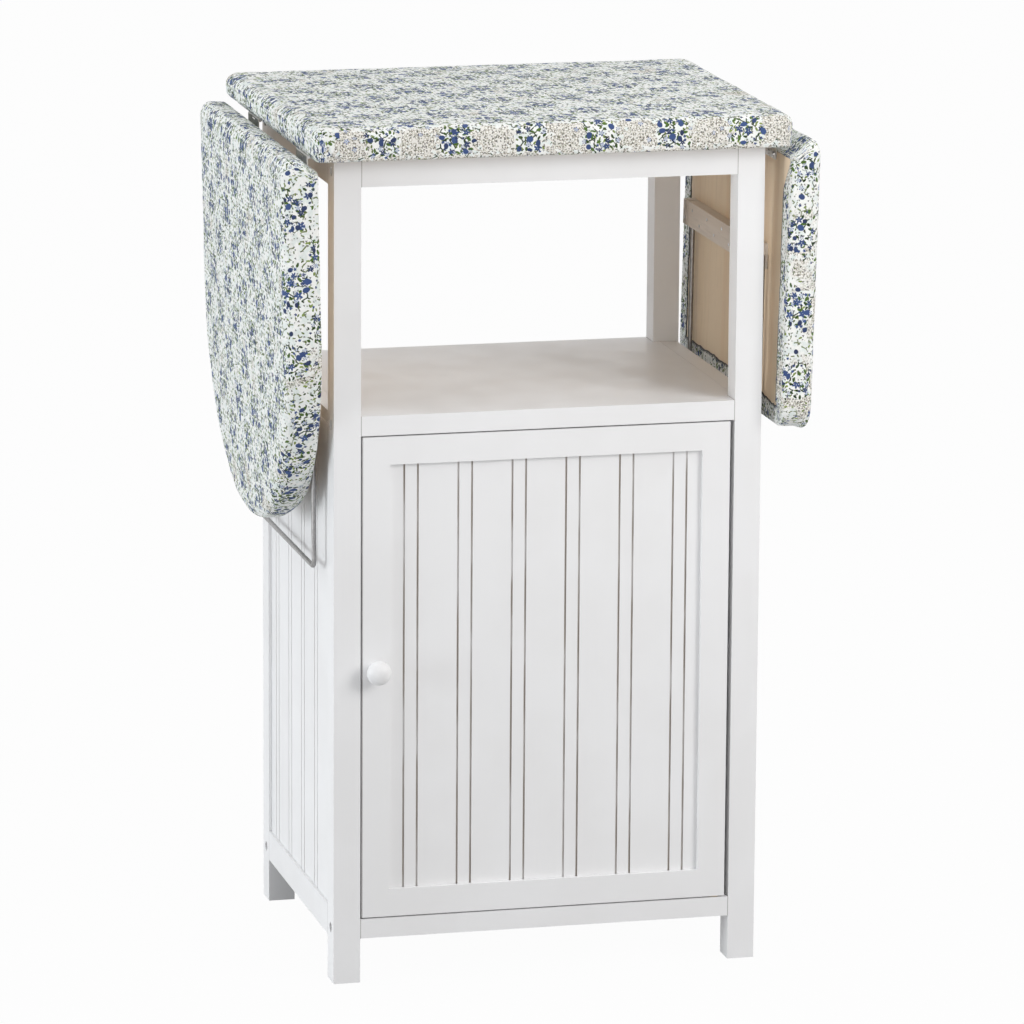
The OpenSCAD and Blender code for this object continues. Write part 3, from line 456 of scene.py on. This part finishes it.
# %% A helper that scatters motifs
def motif(tree, cloth, cell, shift, keep, reach, petals=0, slim=1.0, dent=0.3, calm=None):
    """cell and reach in mm; keep = chance (between, inside) bouquets; slim narrows it, dent cuts
    in between its petals; calm = where only bouquets may have it.
    Returns its share, how far out a point lies (1 at the rim) and a tone thrown for each cell."""
    offset = (shift, shift * 1.7, 0)
    moved = add(tree, "VectorMath", {0: cloth, 1: offset}, operation="ADD").outputs[0]
    cells = add(tree, "TexVoronoi", {"Vector": moved, "Scale": 1.0 / cell, "Randomness": 0.8},
                voronoi_dimensions="2D")
    middle = cells.outputs["Position"]
    local = add(tree, "VectorMath", {0: moved, 1: middle}, operation="SUBTRACT").outputs[0]
    dice = add(tree, "SeparateColor", {0: cells.outputs["Color"]})
    angle = calc(tree, "MULTIPLY", dice.outputs[1], math.tau)
    turned = add(tree, "VectorRotate", {"Vector": local, "Angle": angle}, rotation_type="Z_AXIS").outputs[0]
    xy = add(tree, "SeparateXYZ", {0: turned})
    x, y = xy.outputs[0], calc(tree, "MULTIPLY", xy.outputs[1], slim)
    away = calc(tree, "SQRT", calc(tree, "ADD", calc(tree, "MULTIPLY", x, x), calc(tree, "MULTIPLY", y, y)))
    size = calc(tree, "MULTIPLY_ADD", dice.outputs[2], reach * 0.3, reach * 0.7)
    if petals:
        wavy = calc(tree, "COSINE", calc(tree, "MULTIPLY", calc(tree, "ARCTAN2", y, x), petals))
        size = calc(tree, "MULTIPLY", size, calc(tree, "MULTIPLY_ADD", wavy, dent, 1.0 - dent))
    out = calc(tree, "DIVIDE", away, size)
    inside = ramp(tree, out, 0.93, 1.07, 1.0, 0.0)
    chance = keep[0]
    if keep[0] != keep[1]:
        home = add(tree, "VectorMath", {0: middle, 1: offset}, operation="SUBTRACT").outputs[0]
        near = bouquet_at(tree, home)
        chance = calc(tree, "MULTIPLY_ADD", near, keep[1] - keep[0], keep[0])
        if calm:
            empty = calc(tree, "MULTIPLY", calm, calc(tree, "SUBTRACT", 1.0, near))
            chance = calc(tree, "MULTIPLY", chance, calc(tree, "SUBTRACT", 1.0, empty))
    chosen = calc(tree, "LESS_THAN", dice.outputs[0], chance)
    return calc(tree, "MULTIPLY", inside, chosen), out, dice.outputs[2]


print("motif helper ready")

# %% [markdown]
# ## The printed cotton, part three: ground and greenery
# The print is laid down as a printer would, lightest first: near-white cotton with beige stretches
# full of tiny dots between the bouquets, then thin twigs, yellow-green between the bouquets and
# dark in them, and leaves. A twig is the border between two cells, shown only here and there.

# %% Print the ground and the greenery
def print_ground(tree, cloth, bouquet, warm):
    """Returns the ground's colour and where it is beige."""
    patch = add(tree, "TexNoise", {"Vector": cloth, "Scale": 0.021, "Detail": 2.0}).outputs[0]
    beige = calc(tree, "MULTIPLY", ramp(tree, calc(tree, "MULTIPLY_ADD", warm, 0.32, patch), 0.57, 0.70),
                 calc(tree, "SUBTRACT", 1.0, bouquet))
    haze = add(tree, "TexNoise", {"Vector": cloth, "Scale": 0.13, "Detail": 2.0}).outputs[0]
    colour = over(tree, ramp(tree, haze, 0.45, 0.6), (0.94, 0.945, 0.925, 1), (0.81, 0.86, 0.84, 1))
    colour = over(tree, beige, colour, (0.85, 0.83, 0.785, 1))
    rings, out, _ = motif(tree, cloth, 4.4, 5.0, (0.9, 0.2), 2.1)
    ringed = over(tree, ramp(tree, out, 0.55, 0.7), (0.93, 0.925, 0.89, 1), (0.42, 0.37, 0.28, 1))
    rings = calc(tree, "MULTIPLY", rings, ramp(tree, beige, 0.0, 1.0, 0.08, 0.75))
    colour = over(tree, rings, colour, ringed)
    crumbs, _, _ = motif(tree, cloth, 3.1, 63.0, (0.85, 0.2), 1.25, petals=3)
    crumbs = calc(tree, "MULTIPLY", crumbs, calc(tree, "MULTIPLY", beige, 0.85))
    colour = over(tree, crumbs, colour, (0.10, 0.09, 0.055, 1))
    specks, _, _ = motif(tree, cloth, 3.9, 40.0, (0.42, 0.60), 1.25, petals=3)
    colour = over(tree, calc(tree, "MULTIPLY", specks, 0.9), colour, (0.06, 0.06, 0.045, 1))
    return colour, beige


def print_greenery(tree, cloth, bouquet, beige, warm, colour):
    """Twigs, then small and large leaves, over the colour so far."""
    net = add(tree, "TexVoronoi", {"Vector": cloth, "Scale": 1.0 / 8.5, "Randomness": 1.0},
              voronoi_dimensions="2D", feature="DISTANCE_TO_EDGE").outputs["Distance"]
    gaps = add(tree, "TexNoise", {"Vector": cloth, "Scale": 0.15, "Detail": 1.0}).outputs[0]
    shown = ramp(tree, calc(tree, "MULTIPLY_ADD", bouquet, 0.05, gaps), 0.545, 0.575)
    twig = calc(tree, "MULTIPLY", ramp(tree, net, 0.055, 0.09, 1.0, 0.0), shown)
    twig = calc(tree, "MULTIPLY", twig, calc(tree, "MULTIPLY_ADD", beige, -0.75, 1.0))
    stem = over(tree, bouquet, (0.15, 0.19, 0.06, 1), (0.028, 0.05, 0.018, 1))
    colour = over(tree, twig, colour, stem)
    small, _, tone = motif(tree, cloth, 4.4, 17.0, (0.24, 0.50), 2.0, slim=2.0, calm=warm)
    colour = over(tree, small, colour, over(tree, tone, (0.02, 0.036, 0.013, 1), (0.26, 0.35, 0.08, 1)))
    large, _, tone = motif(tree, cloth, 6.2, 71.0, (0.12, 0.66), 2.9, slim=2.0, calm=warm)
    return over(tree, large, colour, over(tree, tone, (0.014, 0.03, 0.010, 1), (0.09, 0.17, 0.03, 1)))


print("ground and greenery helpers ready")

# %% [markdown]
# ## The printed cotton, part four: blossoms and weave
# Blossoms come last: pale flowers with a blue outline, deep blue five-petalled ones, round buds
# with a pointed foot, and tiny ones that also stray between the bouquets. Under the print lies
# the cloth itself: warp and weft cross as two sine waves, a thread every 0.6 mm, with thicker
# slubs. Along the raw edge of the hem the colour is darkened in broken patches; a colour layer on
# the mesh tells the cotton where that is.

# %% Print the cotton
def print_blossoms(tree, cloth, warm, colour):
    """Pale flowers, then three kinds of blue ones, over the colour so far."""
    pale, out, tone = motif(tree, cloth, 8.2, 29.0, (0.06, 0.4), 3.1, petals=5)
    petal = over(tree, tone, (0.90, 0.92, 0.93, 1), (0.62, 0.70, 0.84, 1))
    petal = over(tree, ramp(tree, out, 0.60, 0.72), petal, (0.065, 0.095, 0.26, 1))
    petal = over(tree, ramp(tree, out, 0.16, 0.24, 1.0, 0.0), petal, (0.10, 0.10, 0.05, 1))
    colour = over(tree, pale, colour, petal)
    kinds = (   # cell, shift, keep, reach, petals, slim, dent, pale heart
        (12.0, 53.0, (0.04, 0.62), 4.3, 5, 1.0, 0.27, True),
        (10.4, 87.0, (0.09, 0.52), 4.6, 1, 1.3, 0.2, False),
        (6.4, 11.0, (0.11, 0.32), 1.9, 5, 1.0, 0.2, False))
    for cell, shift, keep, reach, petals, slim, dent, heart in kinds:
        blue, out, tone = motif(tree, cloth, cell, shift, keep, reach, petals, slim, dent, calm=warm)
        deep = over(tree, tone, (0.028, 0.040, 0.10, 1), (0.055, 0.10, 0.265, 1))
        if heart:
            deep = over(tree, ramp(tree, out, 0.12, 0.2, 1.0, 0.0), deep, (0.55, 0.60, 0.66, 1))
        colour = over(tree, blue, colour, deep)
    return colour


def printed_cotton():
    """The cloth of every cover. It reads the mesh's UVs in mm, its layer that makes the print beige, and its
    layer that darkens the edge of the hem.
    """
    cotton, tree, body = finish("printed cotton", Roughness=0.86, Specular_IOR_Level=0.25,
                                Sheen_Weight=0.12, Sheen_Roughness=0.5)
    raw = add(tree, "UVMap", uv_map="cloth").outputs[0]
    wobble = add(tree, "TexNoise", {"Vector": raw, "Scale": 0.35, "Detail": 2.0})
    nudge = add(tree, "VectorMath", {0: wobble.outputs["Color"], 1: (0.5, 0.5, 0.5)}, operation="SUBTRACT")
    cloth = add(tree, "VectorMath", {0: nudge.outputs[0], 1: (1.1, 1.1, 0), 2: raw}, operation="MULTIPLY_ADD")
    cloth = cloth.outputs[0]
    bouquet = bouquet_at(tree, cloth, ragged=4.5)
    warm = add(tree, "Attribute", attribute_name="warm").outputs["Fac"]
    colour, beige = print_ground(tree, cloth, bouquet, warm)
    colour = print_greenery(tree, cloth, bouquet, beige, warm, colour)
    colour = print_blossoms(tree, cloth, warm, colour)

    # darker in broken patches along the raw edge of the hem, where the mesh's layer says so
    hem_dark = add(tree, "Attribute", attribute_name="hem_dark").outputs["Fac"]
    hem_breakup = add(tree, "TexNoise", {"Vector": raw, "Scale": 0.9, "Detail": 3.0}).outputs[0]
    hem_darkened = ramp(tree, calc(tree, "MULTIPLY_ADD", hem_breakup, 1.5, hem_dark), 1.35, 1.6)
    colour = over(tree, hem_darkened, colour, (0.075, 0.075, 0.085, 1))
    tree.links.new(colour, body.inputs["Base Color"])

    strands = add(tree, "SeparateXYZ", {0: raw})
    warp, weft = (calc(tree, "SINE", calc(tree, "MULTIPLY", strands.outputs[i], 11.0)) for i in (0, 1))
    slub = add(tree, "TexNoise", {"Vector": raw, "Scale": 1.3, "Detail": 2.0}).outputs[0]
    height = calc(tree, "MULTIPLY_ADD", slub, 1.2, calc(tree, "MULTIPLY", warp, weft))
    bump = add(tree, "Bump", {"Strength": 0.35, "Distance": 0.0002, "Height": height})
    tree.links.new(bump.outputs[0], body.inputs["Normal"])
    return cotton


cotton = printed_cotton()
print("cotton nodes:", len(cotton.node_tree.nodes))

# %% [markdown]
# ## The padded covers: the plan
# A pad is a board with wadding on it, and a cover pulled over both and turned in below. Seen from
# above, each has four rounded corners, and on the left leaf two of them are so wide that they meet
# in a nose. The plan is walked round once in even steps of about 5 mm, so that later every point
# can be pushed in or out along its own outward direction.

# %% Walk round a pad's plan
TOP_L, TOP_W = 487.0, 390.0
HINGE_SET = 5.0     # from a leaf's hinge axis to its pad
STEP = 5.0          # from one point of a plan to the next, about


class Plan:
    """A pad seen from above, in mm, from x0 to x1; near and far are the radii of its corners along
    x and y. ring(inset) walks round it, drawn in by inset."""

    def __init__(self, x0, x1, near, far):
        self.x0, self.x1, self.near, self.far = x0, x1, near, far
        self.middle = Vector(((x0 + x1) / 2, 0.0))
        arcs = [far, near, near, far]
        length = x1 - x0 - near[0] - far[0]
        sides = (length, TOP_W - 2 * near[1], length, TOP_W - 2 * far[1])
        self.arc_steps = [max(6, round(1.4 * (a[0] + a[1]) / 2 / STEP)) for a in arcs]
        self.side_steps = [max(0, round(side / STEP)) for side in sides]
        self.base = self.ring(0.0)
        count = len(self.base)
        ways = [self.base[(k + 1) % count] - self.base[k - 1] for k in range(count)]
        self.outward = [Vector((w.y, -w.x)).normalized() for w in ways]

    def ring(self, inset):
        half = TOP_W / 2 - inset
        fx, fy = (max(r - inset, 0.5) for r in self.far)
        nx, ny = (max(r - inset, 0.5) for r in self.near)
        right, left = self.x1 - inset - fx, self.x0 + inset + nx
        corners = ((right, half - fy, fx, fy), (left, half - ny, nx, ny),
                   (left, ny - half, nx, ny), (right, fy - half, fx, fy))

        def on_corner(i, quarters):
            """The point of corner i that lies so many quarter turns round from plus x."""
            x, y, rx, ry = corners[i % 4]
            t = math.radians(90 * quarters)
            return Vector((x + rx * math.cos(t), y + ry * math.sin(t)))

        points = []
        for i, (arc, side) in enumerate(zip(self.arc_steps, self.side_steps)):
            points += [on_corner(i, i + j / arc) for j in range(arc + 1)]
            start, end = points[-1], on_corner(i + 1, i + 1)
            points += [start.lerp(end, j / side) for j in range(1, side)]
        if not self.side_steps[3]:
            points.pop()
        return points


plans = {
    "top": Plan(-TOP_L / 2, TOP_L / 2, (9, 9), (9, 9)),
    "left": Plan(HINGE_SET, HINGE_SET + 377, (9, 9), (205, 195)),
    "right": Plan(HINGE_SET, HINGE_SET + 280, (9, 9), (22, 22))}
print({name: len(plan.base) for name, plan in plans.items()})

# %% [markdown]
# ## The padded covers: the skin
# The skin is built as rings, from the raw edge of the hem, round the board's lower edge, up the
# side, over the soft shoulder and in to the middle of the face, which is slightly crowned. Cloth
# that is pulled over an edge keeps its width, so each point also remembers how far along the
# cloth it lies. That is its UV, in millimetres, and it makes the print run over the edge unbroken.

# %% Build a padded skin
SHOULDER, CROWN = 11.0, 3.0     # the rounding of a pad's upper edge; how far its face swells
HEM = 14.6                      # how far the cover is turned in below
BOARD_TOP = 12.8                # the board's upper face, over the hem
SIDE_FROM = 8                   # the height at which the side is straight
QUARTER = 1.571                 # cloth on a quarter turn, per mm of radius
ROUND_STEPS, FACE_STEPS = 7, 26
BELOW = (   # inset, height, cloth past the board's lower edge, share in the hem, how dark the hem's edge is
    (2.9, BOARD_TOP, 16, 0, 0), (2.9, 0.85, 16, 0, 0), (HEM, 0.78, 14.5, 1, 1), (14.8, 0.4, 14.3, 1, 1),
    (14.4, 0.05, 14, 1, 1), (12.0, 0.0, 11.5, 0.9, 0.5), (7.0, 0.0, 6.5, 0, 0), (4.0, 0.0, 3.5, 0, 0),
    (2.2, 0.5, 1.6, 0, 0), (1.0, 1.8, -0.2, 0, 0), (0.35, 4.2, -2.8, 0, 0))


def lumps(x, y, size, seed):
    """Noise between -1 and 1 whose lumps are about size mm wide."""
    return noise.noise(Vector((x / size, y / size, seed)))


def soft(value, low, high):
    """0 below low, 1 above high, smooth between."""
    t = min(max((value - low) / (high - low), 0.0), 1.0)
    return t * t * (3 - 2 * t)


def padded_skin(name, plan, high, seed, place, shift, reshape=None, only=None, warm_front=0.0,
                bare_near=False, end_hem=HEM, side_hem=HEM):
    """A closed skin with UVs in mm; place turns a pad point (mm) into a world point (mm).
    high = the pad's thickness; reshape moves points; only picks the points of a part;
    warm_front = how beige the print is in front; bare_near leaves the hinges' end almost without
    a hem; end_hem and side_hem = how wide the hem is at the far end and along the sides."""
    count = len(plan.base)
    centre = plan.middle
    rows = []   # each row: a list of (pad point, cloth point, how dark the hem's edge is)
    edge = plan.ring(SHOULDER)

    def row(inset, height, reach, hem=0.0, hem_dark=0.0):
        """inset from the plan, height over the hem, reach = cloth measured from the face's edge."""
        made = []
        deeper = plan.ring(inset + (end_hem - HEM) * hem)
        for p, q, d, n, e in zip(plan.base, plan.ring(inset), deeper, plan.outward, edge):
            # how much a point belongs to the far end, whose hem narrows towards the front
            at_end = soft(p.x, plan.x1 - 45, plan.x1 - 25) * (0.45 + 0.55 * soft(p.y, -190, -60))
            past_hinges = soft(p.x, plan.x0 + 8, plan.x0 + 24)
            q = q.lerp(d, at_end)
            if bare_near and inset > 3 and height < 1:
                q = q.lerp(p - n * (2.2 + 0.27 * (inset - 2.2)), 1 - past_hinges)
            wide = (side_hem - HEM) * soft(abs(n.y), 0.4, 0.9) * soft(p.x, plan.x0 + 8, plan.x0 + 40)
            q = q - n * hem * wide * (1 - at_end)
            # the raw edge wanders, in long waves and in short ones
            ragged = 1.8 * lumps(p.x, p.y, 24, seed) + 1.4 * lumps(p.x, p.y, 5.5, seed + 3)
            q = q - n * hem * ragged * (0.3 + 0.7 * past_hinges)
            turned = at_end * (end_hem - HEM) + (1 - at_end) * wide
            made.append((Vector((q.x, q.y, height)), e + n * (reach + hem * turned), hem_dark))
        rows.append(made)

    face_high = high - 0.6
    side = face_high - SHOULDER
    below = SHOULDER * QUARTER + side     # cloth from the face's edge down to the board's lower edge
    for inset, height, past, hem, hem_dark in BELOW:
        row(inset, height, below + past, hem, hem_dark)
    steps = max(3, round((side - SIDE_FROM) / STEP))
    for i in range(steps + 1):
        t = i / steps
        height = SIDE_FROM + (side - SIDE_FROM) * t
        row(0.25 * math.sin(math.pi * t), height, below - 1.4 * (1 - t) - height + 1.4)
    for i in range(1, ROUND_STEPS + 1):
        t = math.radians(90 * i / ROUND_STEPS)
        reach = SHOULDER * QUARTER * (1 - i / ROUND_STEPS)
        row(SHOULDER * (1 - math.cos(t)), side + SHOULDER * math.sin(t), reach)
    side_rows = len(rows) - 3
    for i in range(1, FACE_STEPS):
        s = 1 - (i / FACE_STEPS) ** 0.92
        rows.append([(Vector((*(centre + (e - centre) * s), face_high + CROWN * (1 - s * s))),
                      centre + (e - centre) * s, 0.0) for e in edge])

    vertices = [v for r in rows for v, _, _ in r]
    vertices += [Vector((*centre, BOARD_TOP)), Vector((*centre, face_high + CROWN))]
    cloth = [uv for r in rows for _, uv, _ in r] + [centre, centre]
    hem_darkened = [f for r in rows for _, _, f in r] + [0.0, 0.0]
    facing = [warm_front * soft(-n.y, 0.5, 0.9) for n in plan.outward]
    warm = facing * side_rows + [0.0] * (len(vertices) - side_rows * count)
    low, top, last = len(rows) * count, len(rows) * count + 1, (len(rows) - 1) * count
    faces = [(low, (k + 1) % count, k) for k in range(count)]
    for r in range(len(rows) - 1):
        for k in range(count):
            a, b = r * count + k, r * count + (k + 1) % count
            faces.append((a, b, b + count, a + count))
    faces += [(last + k, last + (k + 1) % count, top) for k in range(count)]

    # wadding is never quite even: the face rises and falls a little, and the sides sink in
    for v in vertices:
        if v.z > 3.0:
            broad, small = lumps(v.x, v.y, 46, seed + 7), lumps(v.x + v.z, v.y - v.z, 17, seed + 9)
            slack = 0.55 * broad + 0.3 * small - 0.35
            if v.z > high - 3:
                v.z += slack
            else:
                out = Vector((v.x, v.y)) - centre
                v.xy = v.xy + out.normalized() * min(slack, 0.0)
    if only:
        faces = [f for f in faces if all(only(vertices[i]) for i in f)]
    if reshape:
        for v, uv in zip(vertices, cloth):
            reshape(v, uv)
    mesh = bpy.data.meshes.new(name)
    mesh.from_pydata([Vector(place(*v)) * 0.001 for v in vertices], [], faces)
    layer = mesh.uv_layers.new(name="cloth")
    for loop in mesh.loops:
        layer.data[loop.index].uv = cloth[loop.vertex_index] + Vector(shift)
    mesh.attributes.new("hem_dark", "FLOAT", "POINT").data.foreach_set("value", hem_darkened)
    mesh.attributes.new("warm", "FLOAT", "POINT").data.foreach_set("value", warm)
    if only:
        loose = bmesh.new()
        loose.from_mesh(mesh)
        bmesh.ops.delete(loose, geom=[v for v in loose.verts if not v.link_faces], context="VERTS")
        loose.to_mesh(mesh)
        loose.free()
    mesh.shade_smooth()
    mesh.materials.append(cotton)
    skin = bpy.data.objects.new(name, mesh)
    bpy.context.scene.collection.objects.link(skin)
    return skin


print("skin helper ready")

# %% [markdown]
# ## Where the pads hang
# The top lies flat, so its points only move up. The leaves hang from their hinge axes and lean in
# by 1.3 degrees, because the hinge plates meet the hem and not the cover. A leaf point is given as
# distance down the leaf, distance across, and distance out from the hinge plates.

# %% Make the three pads
HEM_Z = 842.2                   # the hem of the top
AXIS_X, AXIS_Z = 239.0, 840.2   # a leaf's hinge axis
KNUCKLE_R = 2.0                 # from that axis out to the hem of the leaf
LEAN = math.radians(91.3)


def on_top(x, y, z):
    return (x, y, HEM_Z + z)


def on_leaf(side):
    """How a leaf's points are placed; side is -1 for the left leaf and 1 for the right one."""
    def place(x, y, z):
        z = z + KNUCKLE_R
        out = AXIS_X + x * math.cos(LEAN) + z * math.sin(LEAN)
        return (side * out, y, AXIS_Z - x * math.sin(LEAN) + z * math.cos(LEAN))
    return place


# The hems are z = 0. A reshape moves a pad point v, and may move its place uv on the cloth.
def squarer(v, uv):
    """The right leaf's lower edge is pulled tight, so its outer corner is less round."""
    v.x += 3.5 * soft(v.x, 262, 282) * soft(v.z, 16, 29)


def fuller(v, uv):
    """The left leaf's wadding is thicker towards the rear, and its nose hangs a little lower."""
    firm = soft(v.z, 8, 22)
    v.z += firm * (1.0 + 4.5 * soft(v.y, -170, 195))
    v.x += 7.0 * soft(v.x, 240, 380) * soft(v.z, 2, 14)


def slumped(v, uv):
    """The top's rear right corner is rounder, because the wadding has slumped there."""
    corner = Vector((v.x - 203.0, v.y - 155.0))
    if corner.x > 0 and corner.y > 0 and corner.length > 40:
        v.xy = v.xy - corner.normalized() * (corner.length - 40) * 0.9 * soft(v.z, 12, 27)


pads = {    # plan, thickness, seed, how it is placed, where on the cloth it was cut
    "top": (plans["top"], 33.8, 11.3, on_top, (174, 205)),
    "left": (plans["left"], 36.8, 23.7, on_leaf(-1), (60, 15)),
    "right": (plans["right"], 33.3, 37.1, on_leaf(1), (20, 30))}
top_cover = padded_skin("top_cover", *pads["top"], reshape=slumped, warm_front=1.0)
left_cover = padded_skin("left_leaf_cover", *pads["left"], reshape=fuller, warm_front=0.15, bare_near=True)
right_cover = padded_skin("right_leaf_cover", *pads["right"], reshape=squarer, warm_front=0.4, bare_near=True,
                          end_hem=27.0, side_hem=27.0)
for cover, node, body_name in ((top_cover, "top_pad", "cabinet"), (left_cover, "left_leaf_pad", "left_leaf"),
                               (right_cover, "right_leaf_pad", "right_leaf")):
    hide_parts(node)
    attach(cover, body_name)
    print(cover.name, len(cover.data.vertices), "points")

# %% [markdown]
# ## The soft ends
# While a leaf hangs, nothing presses on its hinge end, and the wadding swells up there, past the
# level of the hinges. The left end of the top swells too. When the leaf is raised, the two ends
# press each other flat; each end is built as its own skin and listed with its joint, axis, anchor and the
# share kept when flat, but nothing here squashes it.

# %% Pull out the soft ends
LEAF_END, TOP_END = 20.0, -215.0        # x of the lines where the soft ends begin
FLAT = LEAF_END - HINGE_SET             # a leaf's end pressed flat
LEFT_LIFT, RIGHT_LIFT = 12.0, 14.0      # how far it swells past that
TOP_SWELL = 0.42                        # the top's end swells by this share of its length
UNDERSIDE = 2.5                         # what lies lower isn't part of an end


def leaf_end(lift, also=None):
    """A reshape that pulls a leaf's end out by lift, after the reshape of the whole leaf."""
    def reshape(v, uv):
        if also:
            also(v, uv)
        back = max(0.0, LEAF_END - v.x)
        near = soft(back, 0, 5)
        v.z += 0.25 * soft(v.z, 15, 30) * near
        v.y += math.copysign(0.25 * soft(abs(v.y), 180, 194) * near, v.y)
        v.x -= back * lift / FLAT * soft(v.z, 4, 18)
        uv.x -= max(0.0, LEAF_END - uv.x) * 0.5 * lift / FLAT
    return reshape


def top_end(v, uv):
    """The top's left end swells most at its rear."""
    back = max(0.0, TOP_END - v.x)
    v.z += 0.2 * soft(v.z, 20, 33) * soft(back, 0, 5)
    v.x -= back * TOP_SWELL * soft(v.z, UNDERSIDE, 12) * (0.15 + 0.85 * soft(v.y, -190, 190))


def before(line):
    """Picks the points of an end that begins at that x."""
    return lambda v: v.x < line and v.z > UNDERSIDE


def down(side):
    """The direction down a hanging leaf."""
    return (side * math.cos(LEAN), 0, -math.sin(LEAN))


ends = (    # name, pad, reshape, which points, body, joint, axis, anchor in mm, what is kept when flat
    ("top_left_end", "top", top_end, before(TOP_END), "cabinet", "left_leaf_hinge", (1, 0, 0),
     on_top(TOP_END, 0, 0), 1 / (1 + TOP_SWELL)),
    ("left_leaf_end", "left", leaf_end(LEFT_LIFT, fuller), before(LEAF_END), "left_leaf", "left_leaf_hinge",
     down(-1), on_leaf(-1)(LEAF_END, 0, 0), FLAT / (FLAT + LEFT_LIFT)),
    ("right_leaf_end", "right", leaf_end(RIGHT_LIFT), before(LEAF_END), "right_leaf", "right_leaf_hinge",
     down(1), on_leaf(1)(LEAF_END, 0, 0), FLAT / (FLAT + RIGHT_LIFT)))
soft_ends = []
for name, pad, reshape, only, body_name, joint, axis, anchor, keep in ends:
    end = padded_skin(name, *pads[pad], reshape=reshape, only=only)
    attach(end, body_name)
    soft_ends.append((end, joint, axis, [c * 0.001 for c in anchor], keep))
    print(end.name, len(end.data.vertices), "points, keeps", round(keep, 3))

# %% [markdown]
# ## Turning the left leaf's faces the right way
# A mirrored piece has its faces inside out, because mirroring reverses the order in which their
# corners are walked. Blender can work out which side is outside and turn them all.

# %% Face the skins outwards
for cover in (top_cover, left_cover, right_cover, *(entry[0] for entry in soft_ends)):
    shell = bmesh.new()
    shell.from_mesh(cover.data)
    bmesh.ops.recalc_face_normals(shell, faces=shell.faces)
    shell.to_mesh(cover.data)
    shell.free()
    print(cover.name, len(cover.data.polygons), "faces")

for end, joint, axis, anchor, keep in soft_ends:
    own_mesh(end)
print("soft ends:", len(soft_ends))

# %% [markdown]
# ## Smooth round parts
# Turned and bent parts come from CAD as many flat strips. Shading them smooth hides the strips,
# and marking every edge sharper than 35 degrees keeps real corners crisp.

# %% Shade the round nodes smooth
for name in nodes:
    mesh = nodes[name].data
    mesh.shade_smooth()
    mesh.set_sharp_from_angle(angle=math.radians(35))
print("smoothed:", len(nodes))
